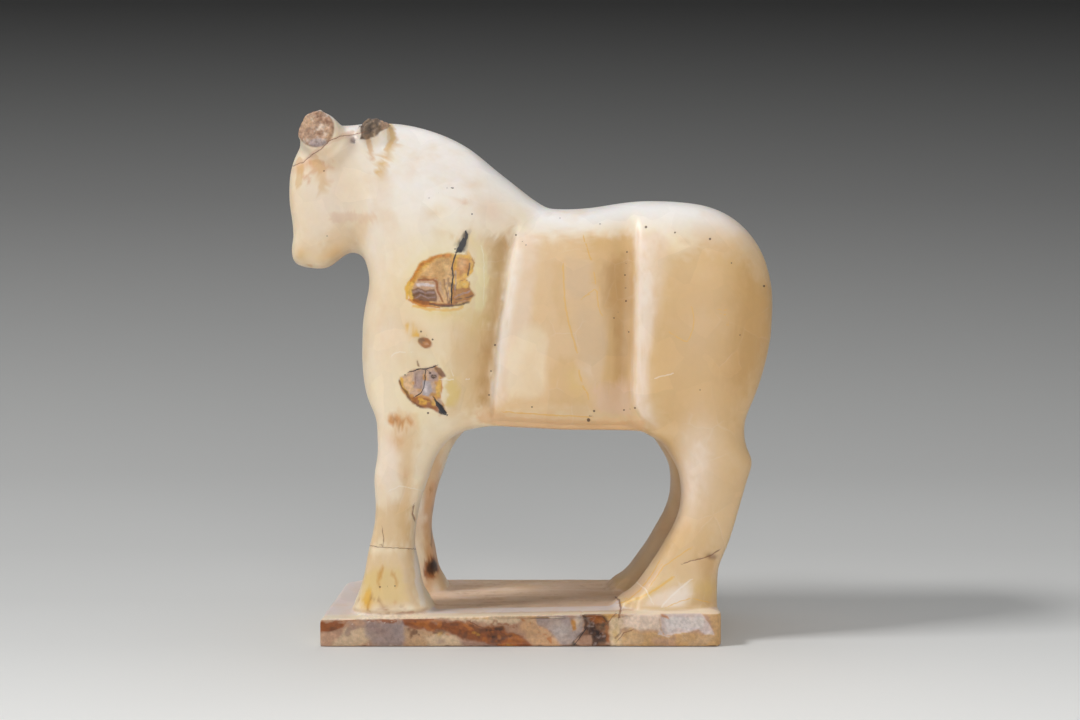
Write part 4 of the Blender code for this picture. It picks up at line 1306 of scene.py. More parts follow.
# %% Plinth marks
PLINTH_MARKS = (
    ("clay", 0.95, patch(2, ((316, 616), (725, 600), (725, 650), (316, 650)))),
    ("rose", 0.70, patch(4, ((320, 634), (336, 632), (338, 647), (320, 647)))),
    ("cream", 0.75, patch(5, ((332, 645), (346, 629), (368, 628), (372, 640), (356, 647)))),
    ("mauve", 0.60, flecks(0.4, 3.0, patch(4, ((330, 628), (370, 624), (370, 634), (336, 640))), 151)),
    ("ash", 0.80, patch(7, ((363, 620), (404, 621), (410, 634), (402, 647), (372, 647), (364, 634)))),
    ("mauve", 0.75, stain(380, 630, 13, 5, 20)),
    ("ash", 0.60, stain(398, 630, 7, 9, 0)),
    ("mauve", 0.60, flecks(0.5, 2.4, patch(3, ((346, 620), (368, 620), (366, 631), (350, 630))), 153)),
    ("rust", 0.95, patch(2, ((319, 624), (329, 621), (346, 622), (343, 628), (333, 630.5), (319, 631)))),
    ("bark", 0.70, flecks(0.4, 2.0, patch(2, ((319, 624), (346, 622), (333, 631), (319, 631))), 155)),
    ("sand", 0.85, patch(5, ((404, 628), (440, 630), (468, 646), (404, 647)))),
    ("cream", 0.80, patch(5, ((424, 636), (446, 632), (462, 640), (462, 647), (428, 647)))),
    ("bark", 0.75, flecks(0.55, 2.2, patch(5, ((408, 626), (446, 628), (440, 640), (414, 644))), 157)),
    ("gold", 0.70, stain(439.5, 635, 2.4, 2.2, 0)),
    ("mauve", 0.60, stain(441, 642, 4, 2, 0)),
    ("mauve", 0.50, patch(4, ((460, 640), (500, 645), (500, 648), (462, 648)))),
    ("cream", 0.85, patch(3, ((434, 608), (532, 607), (534, 622), (500, 624), (460, 621), (434, 619)))),
    ("gold", 0.60, flecks(0.5, 1.6, patch(3, ((466, 615), (488, 615), (488, 620), (466, 620))), 159)),
    ("rust", 0.60, flecks(0.35, 1.6, patch(3, ((450, 619), (516, 622), (520, 628), (454, 622))), 161)),
    ("rust", 0.95, patch(3, (
        (398, 618), (419, 619), (431, 621), (436, 625), (441, 621.5), (462, 622), (470, 626), (486, 626),
        (501, 628), (514, 634), (527, 641), (534, 648), (506, 648), (492, 645), (474, 642), (458, 637),
        (444, 630), (430, 630), (416, 628), (405, 625)
    ))),
    ("orange", 0.70, flecks(0.5, 3.2, patch(3, (
        (398, 618), (462, 622), (501, 628), (534, 648), (474, 642), (430, 630)
    )), 163)),
    ("bark", 0.80, flecks(0.45, 2.4, patch(3, (
        (400, 618), (440, 622), (486, 626), (527, 641), (506, 647), (470, 641), (444, 630)
    )), 165)),
    ("umber", 0.85, flecks(0.65, 2.0, patch(3, (
        (484, 627), (500, 628), (507, 636), (503, 642), (488, 637)
    )), 167)),
    ("gold", 0.55, flecks(0.4, 1.8, streak(2.0, ((470, 633), (492, 639), (512, 645))), 169)),
    ("peach", 0.75, patch(5, ((522, 612), (536, 612), (562, 640), (562, 648), (536, 648), (520, 630)))),
    ("orange", 0.75, flecks(0.55, 2.0, streak(2.6, ((522, 620), (534, 628), (546, 638), (558, 647))), 171)),
    ("orange", 0.55, flecks(0.5, 1.6, streak(1.6, ((528, 614), (538, 624), (552, 634))), 173)),
    ("ash", 0.85, patch(4, (
        (536, 612), (574, 612), (582, 616), (584, 630), (574, 647), (564, 647), (550, 632), (538, 622)
    ))),
    ("frost", 0.60, stain(562, 632, 11, 8, 25)),
    ("mauve", 0.70, patch(4, ((538, 612), (574, 612), (572, 618), (542, 618)))),
    ("cream", 0.60, stain(577, 622, 4, 7, 0)),
    ("ochre", 0.95, patch(2, ((571.5, 619), (575.5, 620), (577, 629), (574, 632), (571.5, 627)))),
    ("orange", 0.60, stain(573, 616, 3, 3, 0)),
    ("bark", 0.85, patch(3, ((583, 612), (610, 612), (610, 648), (576, 648), (584, 632)))),
    ("clay", 0.70, flecks(0.45, 3.0, patch(3, ((586, 626), (606, 624), (609, 647), (590, 647))), 193)),
    ("umber", 0.85, flecks(0.7, 2.6, patch(2, (
        (583, 613), (592, 614), (606, 624), (610, 647), (592, 647), (585, 630)
    )), 175)),
    ("rust", 0.95, patch(1.6, (
        (588, 613.5), (597, 614.5), (603, 618), (607, 623), (598, 626), (590, 623)
    ))),
    ("orange", 0.55, stain(596, 621, 6, 2.2, 20)),
    ("soot", 0.80, streak(1.3, ((582, 612.5), (593, 613), (601, 616), (606.5, 622)))),
    ("umber", 0.85, streak(1.8, ((583.5, 614), (586, 621), (586, 629)))),
    ("soot", 0.60, flecks(0.5, 1.6, patch(2, ((590, 625), (606, 624), (609, 646), (596, 646))), 177)),
    ("lilac", 0.30, flecks(0.25, 1.4, patch(2, ((586, 624), (606, 622), (609, 646), (594, 646))), 179)),
    ("rust", 0.85, patch(2, ((606, 625), (611, 627), (612, 640), (607, 643)))),
    ("clay", 0.70, patch(2, ((577, 645), (585, 637), (593, 636), (594, 646), (580, 648)))),
    ("umber", 0.85, streak(1.2, ((586, 629), (581, 636), (577, 640), (573, 646)))),
    ("soot", 0.90, patch(1.4, ((572, 647.5), (575, 643), (579, 647.5)))),
    ("honey", 0.85, patch(3, ((590, 609), (618, 609), (621, 618), (612, 622), (606, 617), (596, 612)))),
    ("gold", 0.55, stain(610, 616, 7, 4, 20)),
    ("cream", 0.70, patch(4, ((611, 620), (622, 616), (626, 634), (622, 648), (611, 648)))),
    ("straw", 0.60, stain(617, 634, 4, 10, 0)),
    ("bark", 0.90, streak(1.2, ((616, 638), (621, 633), (624, 628.5), (628, 627)))),
    ("clay", 0.80, oval(625, 630, 4.5, 3.0, 0)),
    ("shell", 0.95, patch(5, ((622, 602), (662, 603), (662, 628), (640, 631), (626, 626)))),
    ("honey", 0.85, patch(5, ((624, 630), (640, 632), (664, 631), (716, 634), (718, 648), (622, 648)))),
    ("sand", 0.70, flecks(0.5, 5.0, patch(5, ((624, 632), (716, 636), (716, 648), (622, 648))), 181)),
    ("clay", 0.70, patch(4, ((652, 638), (676, 636), (676, 646), (654, 646)))),
    ("honey", 0.85, patch(4, ((706, 608), (724, 604), (722, 648), (712, 647), (714, 630)))),
    ("peach", 0.75, patch(3, ((656, 604), (716, 608), (712, 616), (660, 615)))),
    ("lilac", 0.90, patch(1.4, HEEL_FLAKE)),
    ("frost", 0.60, patch(2, ((664, 618), (704, 618), (704, 628), (668, 631)))),
    ("orange", 0.80, patch(1.6, ((659, 612), (668, 616), (669, 619), (662, 617)))),
    ("ochre", 0.60, streak(1.0, ((661, 616), (661, 628), (664, 634), (676, 635)))),
    ("rust", 0.90, streak(1.3, ((319, 624), (336, 621), (368, 618.5), (393, 618.5), (433, 619.5)))),
    ("rust", 0.80, flecks(0.6, 1.6, streak(2.0, ((368, 621), (393, 621), (405, 622))), 183)),
    ("milk", 0.80, flecks(0.2, 1.0, streak(2.4, ((345, 622), (372, 621), (400, 621))), 185)),
    ("bark", 0.75, streak(1.1, ((534, 612.5), (560, 611.8), (590, 612)))),
    ("umber", 0.65, streak(1.3, ((318, 647.5), (520, 647.5), (716, 647.5)))),
    ("milk", 0.70, flecks(0.25, 1.2, streak(1.5, ((330, 645.5), (500, 645.5))), 187)),
)
front_face = near * eased(-spots[:, 2], -0.0158, -0.0142) * eased(-normals[:, 1], 0.15, 0.5)
glaze(PLINTH_MARKS, view + 2.0 * fine_sway, front_face)
# the front is darkened towards brown, a little more to the left
DEEPER = np.array([0.24, 0.33, 0.40])
paint *= 1 - (front_face * (0.55 + 0.45 * eased(-view[:, 0], -640, -520)))[:, None] * DEEPER

# %% [markdown]
# The top was rubbed along its length, so its bed has a grain of fine lines. A grain is a cloud
# whose points are drawn together along x: it changes slowly there and quickly across.

# %% Plinth's top
top_face = eased(normals[:, 2], 0.5, 0.85) * eased(-spots[:, 2], -0.0175, -0.0160)
top_face *= eased(spots[:, 2], 0.0095, 0.0105)
grain_lines = cloud(spots * (0.12, 1, 1), 0.0016, 91) + 0.5 * cloud(spots * (0.2, 1, 1), 0.0007, 92)
bed = bed_share(spots)
rim_line = eased(-np.abs(spots[:, 1] - LEDGE_LINE), -0.0012, -0.0004) * eased(spots[:, 0], -0.06, -0.05)
wash((
    ("shell", 0.60, top_face),
    ("frost", 0.45, top_face * eased(spots[:, 0], -0.05, -0.07)),
    ("rose", 0.55, top_face * bed),
    ("sand", 0.45, top_face * bed * eased(grain_lines, 0.0, 0.7)),
    ("clay", 0.45, top_face * bed * eased(grain_lines, 0.5, 1.0)),
    ("shell", 0.45, top_face * bed * eased(-grain_lines, 0.2, 0.9)),
    # partly painted highlight: the pale lilac ledge and the cream strip before it brighten where the near
    # edge catches the light
    ("lilac", 0.80, top_face * (1 - bed) * eased(spots[:, 1], LEDGE_LINE, LEDGE_LINE + 0.002)),
    ("cream", 0.60, top_face * eased(-spots[:, 1], -LEDGE_LINE, -LEDGE_LINE + 0.002)),
    ("clay", 0.50, top_face * rim_line * eased(spots[:, 0], -0.035, -0.015)),
))

# %% [markdown]
# ## Broken faces
# Fresh stone is duller and pinker than the polished skin. The horn's break is a sandy brown, and
# the ear's is nearly black with dirt.

# %% Break colours
break_view = np.where(spots[:, 1:2] < 0, view, mirror_view)
horn_broken, ear_broken = break_shares(spots, break_view)
horn_reach = np.hypot(*(break_view - HORN_BREAK).T)
speckle = 0.5 * cloud(spots, 0.0030, 94) + 0.5 * cloud(spots, 0.0013, 95)
speckle += 0.3 * cloud(spots, 0.0007, 96)
cold_patch = eased(-np.hypot(*((break_view - (318, 143)) / (9.0, 4.5)).T), -1.2, -0.8)
wash((
    ("clay", 0.95, horn_broken),
    ("bark", 0.60, horn_broken * eased(speckle, 0.1, 0.7)),
    ("shell", 0.80, horn_broken * eased(-speckle, 0.10, 0.6)),
    ("bark", 0.35, horn_broken * eased(horn_reach, 13, 18)),
    ("ash", 0.65, horn_broken * cold_patch),
    ("umber", 0.85, ear_broken),
    ("soot", 0.70, ear_broken * eased(speckle, -0.1, 0.5)),
    ("sand", 0.65, ear_broken * eased(-speckle, 0.2, 0.7)),
    ("clay", 0.80, ear_broken * eased(break_view[:, 0], 378, 384)),
))

# %% [markdown]
# ## The far side
# Nobody has pictured the far side. It gets the same kinds of marks in other places, and fewer: a
# long golden vein, a few stains, and a rusty plinth.

# %% Far side marks
FAR_MARKS = (
    ("milk", 0.60, stain(430, 180, 80, 50, 28)),
    ("honey", 0.55, patch(14, ((498, 250), (560, 240), (556, 330), (500, 400), (494, 330)))),
    ("shell", 0.70, patch(9, ((640, 240), (670, 240), (650, 400), (636, 410)))),
    ("honey", 0.50, patch(16, ((680, 270), (760, 280), (740, 400), (676, 410)))),
    ("gold", 0.55, streak(1.6, ((420, 260), (446, 290), (458, 330), (482, 372)))),
    ("honey", 0.60, streak(6, ((420, 260), (446, 290), (458, 330), (482, 372)))),
    ("rust", 0.60, stain(458, 328, 8, 5, 40)),
    ("orange", 0.45, stain(700, 520, 8, 14, 0)),
    ("straw", 0.45, stain(392, 590, 16, 12, 0)),
    ("sand", 0.80, patch(2, ((316, 618), (725, 612), (725, 650), (316, 650)))),
    ("cream", 0.70, stain(400, 634, 40, 8, 0)),
    ("rust", 0.75, patch(3, ((470, 618), (520, 622), (580, 634), (600, 646), (560, 646), (500, 632)))),
    ("ash", 0.60, patch(6, ((610, 616), (660, 616), (650, 646), (600, 646)))),
    ("rust", 0.55, streak(1.4, ((318, 622), (380, 619), (440, 620)))),
)
glaze(FAR_MARKS, mirror_view + 2.0 * sway, far)

# %% [markdown]
# ## Threads
# A hairline is thinner than the mesh's triangles, so it cannot be painted on points. Instead each
# point knows how far it is from the nearest line, with a sign for the side. That number changes
# evenly across a triangle, and the material draws the line where it passes through zero.

# %% Threads
# line, and its half width in pixels
DARK_THREADS = (
    (((467, 232.5), (467, 239), (465, 243)), 1.5),
    (((465, 240), (462, 245), (460, 249)), 3.3),
    (((460, 248), (456, 253)), 2.0),
    (((456.5, 252), (454, 259), (452, 268)), 0.8),
    (((452, 268), (453.5, 276), (452, 286), (451.5, 303)), 0.9),
    (((410.5, 371.5), (418, 369.5), (427, 368.5), (435, 366)), 0.8),
    (((426, 369), (425, 379), (424, 388), (421, 393), (415.5, 396.5)), 0.65),
    (((434.5, 399), (437, 403)), 1.0),
    (((437, 403), (441, 409), (445, 413.5)), 2.1),
    (((586, 629), (581, 636), (574, 645)), 0.6),
    (((440, 590), (447, 588), (452, 589)), 1.2),
)
BROWN_THREADS = (
    (BROW_CRACK, 0.6), (LEG_CRACK, 0.55), (LEG_SCRATCH, 0.5), (LEG_SLIT, 0.9), (HEEL_CRACK, 0.7),
    (NOTCH, 1.1), (BLOT_CRACK, 0.6),
    (((602.5, 582.5), (608, 589.5)), 1.7),
    (((537, 593), (548, 592.5), (556, 593.5)), 0.7),
    (((632, 574), (640, 568), (646, 560)), 0.7),
    (((618, 640), (624, 633), (632, 630)), 0.6),
    (((470, 622), (480, 627), (494, 630), (508, 637)), 0.7),
)
GOLD_THREADS = (
    (((583, 236), (591, 259), (597, 289), (598, 305), (603, 321)), 0.8),
    (((563, 266), (565, 305), (570, 328), (578, 355), (580, 380), (589, 397)), 1.0),
    (((582, 298), (597, 288)), 0.6),
    (((692, 307), (695, 323), (687, 344), (670, 332)), 0.7),
    (((717, 309), (725, 310)), 0.7),
    (((717, 328), (727, 325)), 0.7),
    (FOOT_VEIN, 1.2),
    (((650, 586), (664, 566), (690, 548)), 0.7),
    (((626, 602), (640, 590), (652, 574), (660, 560)), 0.7),
    (((668, 606), (690, 598), (708, 602)), 0.7),
    (((505, 412), (550, 415), (590, 417)), 0.8),
)
PALE_THREADS = (
    (((440, 358), (446, 360), (451, 363)), 1.0),
    (((442, 379), (458, 380), (472, 379)), 1.0),
    (((482, 247), (484, 263), (484, 285), (483, 302)), 0.6),
    (((651, 380), (662, 376), (672, 374)), 0.8),
    (((386, 360), (397, 352), (410, 352)), 0.8),
    (((662, 606), (676, 592), (690, 580)), 1.0),
    (((634, 580), (646, 590), (652, 602)), 0.8),
    (((420, 490), (400, 486), (386, 492)), 0.7),
)
FAR_GOLD_THREADS = (
    (((600, 240), (590, 290), (604, 330), (596, 400)), 0.9),
    (((420, 260), (446, 290), (458, 330), (482, 372)), 1.2),
    (((700, 290), (712, 330), (700, 370)), 0.8),
)
FAR_DARK_THREADS = (
    (((368, 560), (392, 556), (414, 562)), 0.8),
    (((560, 618), (572, 630), (590, 646)), 1.1),
)


def threads(seen_at, family, where):
    """Signed distance to the nearest line, plain distance, and the line's half width here."""
    nearest = np.full(len(seen_at), np.inf)
    signed = np.zeros(len(seen_at))
    half_width = np.zeros(len(seen_at))
    for line, width in family:
        reach, offset = from_line(seen_at, line)
        closer = reach < nearest
        nearest = np.where(closer, reach, nearest)
        signed = np.where(closer, offset, signed)
        half_width = np.where(closer, width, half_width)
    return np.column_stack([signed, np.minimum(nearest, 99), half_width * where])


def keep_on_points(name, values):
    """Stores three numbers at each point under a name that the material can read."""
    layer = bull.data.attributes.new(name, "FLOAT_VECTOR", "POINT")
    layer.data.foreach_set("vector", values.astype(np.float32).ravel())


is_near = spots[:, 1:2] < 0
dark_near = threads(view, DARK_THREADS, near)
dark_far = threads(mirror_view, FAR_DARK_THREADS, far)
gold_near = threads(view, GOLD_THREADS, near)
gold_far = threads(mirror_view, FAR_GOLD_THREADS, far)
keep_on_points("dark_threads", np.where(is_near, dark_near, dark_far))
keep_on_points("gold_threads", np.where(is_near, gold_near, gold_far))
keep_on_points("brown_threads", threads(view, BROWN_THREADS, near))
keep_on_points("pale_threads", threads(view, PALE_THREADS, near))

# %% [markdown]
# ## Specks
# The skin is dotted with small dark pores. A speck works as a thread does: each point knows the
# arrow to the nearest speck's middle, and the material fills the circle around it.

# %% Specks
# across, down and radius in the picture
SPECKS = (
    (324, 171, 0.8), (453, 188, 0.8), (447, 188, 0.6), (472, 214, 0.8), (429, 198, 0.6),
    (516, 235, 1.0), (526, 245, 0.7), (495, 345, 1.0), (491, 371, 0.9), (489, 395, 0.9),
    (421, 331.5, 1.0), (432.5, 339.5, 1.0), (428, 413, 1.1), (430, 373, 1.3), (433.5, 377.5, 1.3),
    (629, 332, 1.4), (626, 301, 0.9), (625, 275, 0.9), (627, 252, 0.9), (646, 227, 1.3),
    (675, 232.5, 1.1), (710, 239, 1.2), (731.5, 263, 0.8), (764, 286, 1.2), (588.5, 420, 1.8),
    (594, 411, 1.2), (624, 410, 1.0), (635, 408, 1.0), (532, 407, 0.8), (614, 318, 0.8),
    (395, 586, 0.8), (380, 587, 0.8), (327, 236, 0.7), (636, 569, 1.1), (700, 390, 0.8),
    (740, 335, 0.7), (455, 249, 0.8), (405, 375, 0.8), (560, 218, 0.6), (600, 224, 0.7),
)
FAR_SPECKS = (
    (420, 210, 1.1), (470, 240, 1.0), (520, 300, 1.3), (548, 360, 0.9), (600, 270, 1.0),
    (650, 330, 1.2), (690, 300, 0.9), (720, 350, 1.1), (400, 460, 0.9), (690, 480, 1.1),
)
SPECK_REACH = 10.0


def arrows(seen_at, specks, where):
    """The arrow from the nearest speck to each point, and the speck's radius if it is close."""
    specks = np.array(specks, float)
    gaps = seen_at[:, None, :] - specks[None, :, :2]
    nearest = np.argmin((gaps**2).sum(axis=2), axis=1)
    arrow = gaps[np.arange(len(seen_at)), nearest]
    close = np.hypot(*arrow.T) < SPECK_REACH
    return np.column_stack([arrow, specks[nearest, 2] * close * (where > 0.5)])


near_specks = arrows(view, SPECKS, near)
far_specks = arrows(mirror_view, FAR_SPECKS, far)
keep_on_points("specks", np.where(is_near, near_specks, far_specks))
print("threads and specks kept on", len(spots), "points")

# %% [markdown]
# ## Polish
# The last layers say how dull the surface is and how grainy. The skin is polished, the breaks and
# the plinth's front are not, and the inclusions are a little softer than the stone around them.

# %% Polish
plinth_side = eased(-spots[:, 2], -0.0155, -0.0140) * (1 - np.abs(normals[:, 2]))
blot_here = eased(depth_inside(view, BLOT), 0, 3) * front_face
dull = np.clip(
    0.9 * np.maximum(horn_broken, ear_broken)
    + 0.35 * plinth_side
    + 0.35 * blot_here
    + 0.25 * top_face * bed
    + 0.20 * eased(ripple, 0.2, 0.9), 0, 1)
grainy = np.clip(np.maximum(horn_broken, ear_broken) + 0.30 * plinth_side + 0.4 * blot_here, 0, 1)
pockets = np.maximum(depth_inside(view, POCKET), depth_inside(view, LOWER_POCKET))
mineral = np.maximum(eased(pockets, -1, 2) * near, front_face * eased(-spots[:, 2], -0.0142, -0.0130))
keep_on_points("finish", np.column_stack([dull, grainy, mineral]))
colours = bull.data.attributes.new("stone_paint", "FLOAT_COLOR", "POINT")
with_alpha = np.column_stack([paint, np.ones(len(paint))])
colours.data.foreach_set("color", with_alpha.astype(np.float32).ravel())
print("paint and finish kept on", len(paint), "points")

# %% [markdown]
# ## The material
# The paint gives each place its colour. Over it the shader lays what is finer than the mesh:
# crystals that meet at faint edges, a mottle, the threads and the specks. Light enters the stone a
# few millimetres, which subsurface scattering gives, and the skin has a polish.

# %% Node helpers
def new_material(name):
    """A material with nodes, with its tree of nodes and its Principled shader."""
    made = bpy.data.materials.new(name)
    made.use_nodes = True
    return made, made.node_tree, made.node_tree.nodes["Principled BSDF"]


# the helpers below add their nodes to the tree of this name
stone, tree, skin = new_material("alabaster")


def node(kind, inputs=(), **settings):
    """Adds a node and fills each listed input with a value or with another node's output."""
    made = tree.nodes.new(kind)
    for name, value in settings.items():
        setattr(made, name, value)
    for name, value in dict(inputs).items():
        if isinstance(value, bpy.types.NodeSocket):
            tree.links.new(value, made.inputs[name])
        else:
            made.inputs[name].default_value = value
    return made


def calc(operation, first, second=0.0):
    """One Math node: the operation on two numbers."""
    return node("ShaderNodeMath", {0: first, 1: second}, operation=operation).outputs[0]


def ramped(value, low, high, start=0.0, end=1.0):
    """The smooth step from start to end while the value goes from low to high."""
    inputs = {"Value": value, "From Min": low, "From Max": high, "To Min": start, "To Max": end}
    return node("ShaderNodeMapRange", inputs, interpolation_type="SMOOTHSTEP").outputs[0]


def mixed(share, first, second, mode="MIX"):
    """The first colour moved by the share towards its mix with the second."""
    inputs = {0: share, 6: first, 7: second}
    return node("ShaderNodeMix", inputs, data_type="RGBA", blend_type=mode).outputs[2]


def kept(name):
    """The three numbers that the points keep under a name."""
    layer = node("ShaderNodeAttribute", attribute_name=name)
    return node("ShaderNodeSeparateXYZ", {0: layer.outputs["Vector"]}).outputs


def noise(scale, detail=3.0, roughness=0.5):
    """Noise from 0 to 1 in space, with about so many swells in a metre."""
    inputs = {"Vector": place, "Scale": scale, "Detail": detail, "Roughness": roughness}
    return node("ShaderNodeTexNoise", inputs).outputs["Fac"]


place = node("ShaderNodeTexCoord").outputs["Object"]
skin_colour = node("ShaderNodeAttribute", attribute_name="stone_paint").outputs["Color"]
dullness, graininess, mineral_share = kept("finish")

# %% [markdown]
# Seen close, the stone is a mosaic of crystals of about a centimetre. A Voronoi texture gives each
# cell its own slight tone and a faint seam, and noise bends the cells so that no seam is straight.

# %% Crystals and mottle
CRYSTALS_IN_A_METRE = 70.0
bend = node("ShaderNodeTexNoise", {"Vector": place, "Scale": 90.0, "Detail": 2.0}).outputs["Color"]
bent = node("ShaderNodeVectorMath", {0: bend, "Scale": 0.004}, operation="SCALE").outputs[0]
bent = node("ShaderNodeVectorMath", {0: place, 1: bent}, operation="ADD").outputs[0]
crystals = node("ShaderNodeTexVoronoi", {"Vector": bent, "Scale": CRYSTALS_IN_A_METRE}).outputs["Color"]
crystal_value = node("ShaderNodeSeparateXYZ", {0: crystals}).outputs[0]
skin_colour = mixed(1.0, skin_colour, ramped(crystal_value, 0.0, 1.0, 0.965, 1.02), "MULTIPLY")
seams = node(
    "ShaderNodeTexVoronoi", {"Vector": bent, "Scale": CRYSTALS_IN_A_METRE}, feature="DISTANCE_TO_EDGE"
).outputs["Distance"]
on_seam = ramped(seams, 0.0, 0.03, 1.0, 0.0)
seam_share = calc("MULTIPLY", on_seam, ramped(noise(40.0), 0.5, 0.65, 0.0, 0.08))
skin_colour = mixed(seam_share, skin_colour, (*PALETTE["milk"], 1))
mottle = noise(420.0, 4.0, 0.6)
skin_colour = mixed(1.0, skin_colour, ramped(mottle, 0.25, 0.75, 0.985, 1.01), "MULTIPLY")
warm_spots = calc("MULTIPLY", ramped(noise(60.0), 0.50, 0.72), 0.30)
skin_colour = mixed(warm_spots, skin_colour, (*shade(222, 186, 140), 1))
fine_mottle = noise(650.0, 3.0, 0.55)
mineral_tone = ramped(fine_mottle, 0.3, 0.7, 0.6, 1.2)
rough_part = calc("MAXIMUM", calc("MULTIPLY", graininess, 0.7), calc("MULTIPLY", mineral_share, 0.42))
skin_colour = mixed(rough_part, skin_colour, mixed(1.0, skin_colour, mineral_tone, "MULTIPLY"))

# %% [markdown]
# The threads are drawn from the distances that the points keep. A little noise is added first, so
# that a line wanders, and its ends are cut where the plain distance is past the reach.

# %% Threads and specks in the shader
THREAD_REACH = 3.6
wobble = calc("MULTIPLY", calc("SUBTRACT", noise(450.0, 3.0), 0.5), 2.4)


def thread_mask(name):
    """1 where the wandering distance is less than the half width, close to a line only."""
    signed, reach, half_width = kept(name)
    offset = calc("ABSOLUTE", calc("ADD", signed, wobble))
    on_line = ramped(calc("SUBTRACT", half_width, offset), 0.0, 0.35)
    return calc("MULTIPLY", on_line, calc("LESS_THAN", reach, THREAD_REACH))


gold_mask = thread_mask("gold_threads")
pale_mask = thread_mask("pale_threads")
dark_mask = thread_mask("dark_threads")
brown_mask = thread_mask("brown_threads")
skin_colour = mixed(calc("MULTIPLY", gold_mask, 0.55), skin_colour, (*PALETTE["gold"], 1))
skin_colour = mixed(calc("MULTIPLY", pale_mask, 0.35), skin_colour, (*PALETTE["milk"], 1))
skin_colour = mixed(calc("MULTIPLY", brown_mask, 0.65), skin_colour, (*shade(128, 78, 52), 1))
skin_colour = mixed(calc("MULTIPLY", dark_mask, 0.92), skin_colour, (*PALETTE["soot"], 1))
speck_x, speck_y, speck_radius = kept("specks")
speck_reach = calc("SQRT", calc("ADD", calc("POWER", speck_x, 2.0), calc("POWER", speck_y, 2.0)))
speck_edge = calc("SUBTRACT", speck_radius, calc("ADD", speck_reach, calc("MULTIPLY", wobble, 0.3)))
speck_mask = ramped(speck_edge, -0.2, 0.4)
skin_colour = mixed(calc("MULTIPLY", speck_mask, 0.85), skin_colour, (*PALETTE["umber"], 1))

# %% [markdown]
# The polish is softer where the points say dull, and the broken faces get a fine grain as a bump
# over their modelled granules. Light goes up to two millimetres deep, red furthest, which gives
# the skin its glow.

# %% Polish and light in the stone
POLISHED_ROUGHNESS = 0.40
BROKEN_ROUGHNESS = 0.85
LIGHT_REACH = 0.0020
duller = calc("MULTIPLY", dullness, BROKEN_ROUGHNESS - POLISHED_ROUGHNESS)
gloss = calc("ADD", POLISHED_ROUGHNESS, duller)
gloss = calc("ADD", gloss, calc("MULTIPLY", calc("SUBTRACT", mottle, 0.5), 0.12))
polish_wave = calc("MULTIPLY", noise(150.0, 2.0), 0.15)
granular = calc("MULTIPLY", calc("MULTIPLY", fine_mottle, graininess), 6.0)
line_depth = calc("MULTIPLY", calc("ADD", brown_mask, speck_mask), -1.5)
height = calc("ADD", calc("ADD", polish_wave, granular), line_depth)
relief = node("ShaderNodeBump", {"Height": height, "Strength": 0.5, "Distance": 0.00025})
tree.links.new(skin_colour, skin.inputs["Base Color"])
tree.links.new(gloss, skin.inputs["Roughness"])
tree.links.new(relief.outputs["Normal"], skin.inputs["Normal"])
skin.inputs["Subsurface Weight"].default_value = 0.30
skin.inputs["Subsurface Radius"].default_value = (1.0, 0.6, 0.32)
skin.inputs["Subsurface Scale"].default_value = LIGHT_REACH
bull.data.materials.clear()
bull.data.materials.append(stone)
print("the material has", len(tree.nodes), "nodes")

# %% [markdown]
# ## The studio
# A sweep of paper lies under the bull and rises far behind it. It is nearly white in front and
# darkens steadily towards its top, which is how such pictures are lit: the softboxes light the
# floor and miss the top. The paper itself carries that change of grey, so that it stays even.

# %% Backdrop
FLOOR_FRONT = -1.3
SWEEP_START = 0.55
SWEEP_RADIUS = 0.9
SWEEP_TOP = 2.2
HALF_SWEEP_WIDTH = 2.6


def sweep_grid():
    """A strip carried along a flat run, a quarter circle and an upright run."""
    flat = np.column_stack([np.linspace(FLOOR_FRONT, SWEEP_START, 12), np.zeros(12)])
    turn = np.linspace(0.0, np.pi / 2, 24)[1:]
    curve = np.column_stack([
        SWEEP_START + SWEEP_RADIUS * np.sin(turn), SWEEP_RADIUS * (1 - np.cos(turn))
    ])
    rise = np.linspace(SWEEP_RADIUS, SWEEP_TOP, 12)[1:]
    wall = np.column_stack([np.full(len(rise), SWEEP_START + SWEEP_RADIUS), rise])
    path = np.concatenate([flat, curve, wall])
    across = np.linspace(-HALF_SWEEP_WIDTH, HALF_SWEEP_WIDTH, 9)
    x, y = np.meshgrid(across, path[:, 0])
    z = np.repeat(path[:, 1:], len(across), axis=1)
    return np.stack([x, y, z], axis=-1)


sweep = sweep_grid()
index = np.arange(sweep.shape[0] * sweep.shape[1]).reshape(sweep.shape[:2])
strips = np.stack([index[:-1, :-1], index[:-1, 1:], index[1:, 1:], index[1:, :-1]], axis=-1)
paper_mesh = bpy.data.meshes.new("paper_sweep")
paper_mesh.from_pydata(sweep.reshape(-1, 3).tolist(), [], strips.reshape(-1, 4).tolist())
paper_mesh.shade_smooth()
paper = bpy.data.objects.new("paper_sweep", paper_mesh)
bpy.context.scene.collection.objects.link(paper)

# %% [markdown]
# The paper's grey is set along its path: depth plus height grows steadily from the front edge to
# the top, so one colour ramp over that number does for floor, curve and wall.

# %% Paper
# distance along the sweep in metres, as depth plus height, and the grey there
PAPER_GREYS = (
    (-0.13, 0.88), (-0.03, 0.73), (0.05, 0.64), (0.2, 0.57), (0.55, 0.50), (1.13, 0.315), (1.64, 0.160),
    (2.17, 0.030),
)
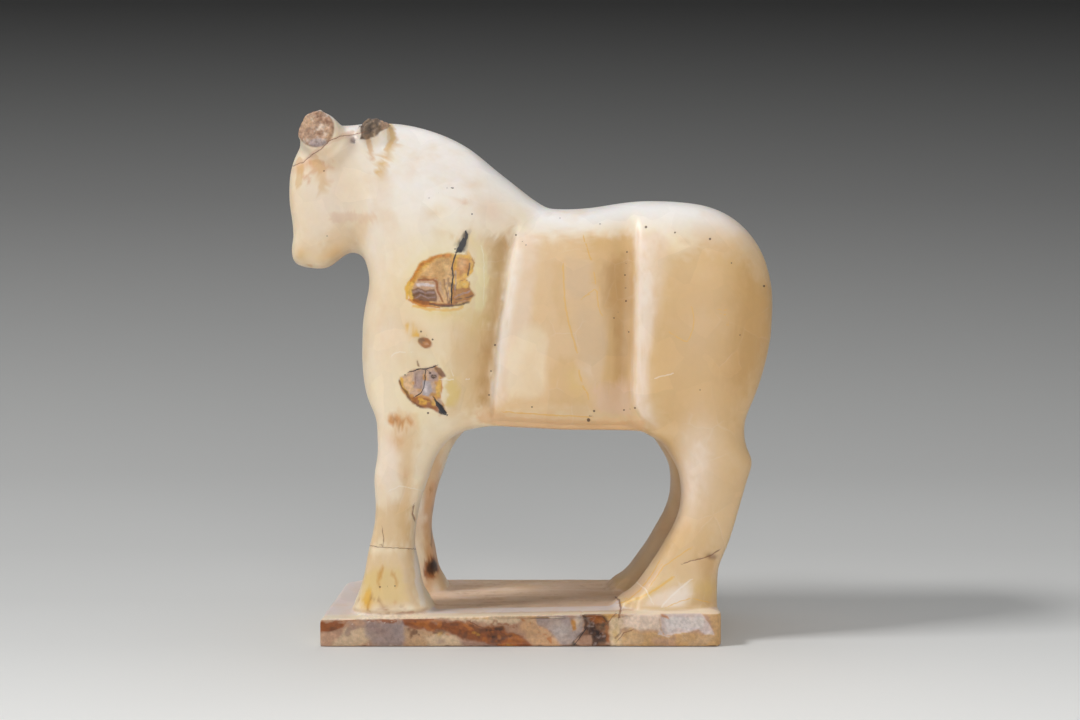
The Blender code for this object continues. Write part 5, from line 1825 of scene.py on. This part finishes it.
# from here on the node helpers add to the paper's tree
paper_look, tree, sheet = new_material("paper")
parts = node("ShaderNodeSeparateXYZ", {0: node("ShaderNodeTexCoord").outputs["Object"]}).outputs
travel = calc("ADD", parts["Y"], parts["Z"])
first, last = PAPER_GREYS[0][0], PAPER_GREYS[-1][0]
share = node("ShaderNodeMapRange", {"Value": travel, "From Min": first, "From Max": last})
ramp = node("ShaderNodeValToRGB", {"Fac": share.outputs["Result"]})
for i, (distance, grey) in enumerate(PAPER_GREYS):
    at = (distance - first) / (last - first)
    stop = ramp.color_ramp.elements[i] if i < 2 else ramp.color_ramp.elements.new(at)
    stop.position = at
    stop.color = (grey, grey, grey * 0.985, 1)
tree.links.new(ramp.outputs["Color"], sheet.inputs["Base Color"])
sheet.inputs["Roughness"].default_value = 0.9
sheet.inputs["Specular IOR Level"].default_value = 0.1
paper_mesh.materials.append(paper_look)
print("the paper runs from grey", PAPER_GREYS[0][1], "to", PAPER_GREYS[-1][1])

# %% [markdown]
# A small softbox high on the left is the key light and throws the shadow to the right. A large one
# behind the camera fills the flank, and one overhead whitens the back and the paper.

# %% Lights
bpy.context.scene.view_settings.view_transform = "Standard"


def softbox(name, place, aim, width, power):
    """A square area light at a place, turned so that its face looks at the aim."""
    light = bpy.data.lights.new(name, "AREA")
    light.shape = "SQUARE"
    light.size = width
    light.energy = power
    lamp = bpy.data.objects.new(name, light)
    bpy.context.scene.collection.objects.link(lamp)
    lamp.location = place
    away = np.array(place) - np.array(aim)
    tilt = math.atan2(math.hypot(away[0], away[1]), away[2])
    lamp.rotation_euler = (tilt, 0, math.atan2(away[1], away[0]) + math.pi / 2)


MIDDLE = (0.0, 0.0, 0.12)
softbox("key", (-2.7, -0.75, 3.0), MIDDLE, 0.85, 86.0)
softbox("front_fill", (0.6, -3.3, 0.7), MIDDLE, 2.4, 52.0)
softbox("overhead", (0.5, 0.4, 2.6), MIDDLE, 2.2, 21.0)
world = bpy.data.worlds.new("studio_air")
world.use_nodes = True
air = world.node_tree.nodes["Background"]
air.inputs["Color"].default_value = (0.95, 0.98, 1.0, 1)
air.inputs["Strength"].default_value = 0.16
bpy.context.scene.world = world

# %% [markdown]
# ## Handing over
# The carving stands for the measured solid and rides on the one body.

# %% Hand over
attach(bull, "root")
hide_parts("bull_on_plinth")
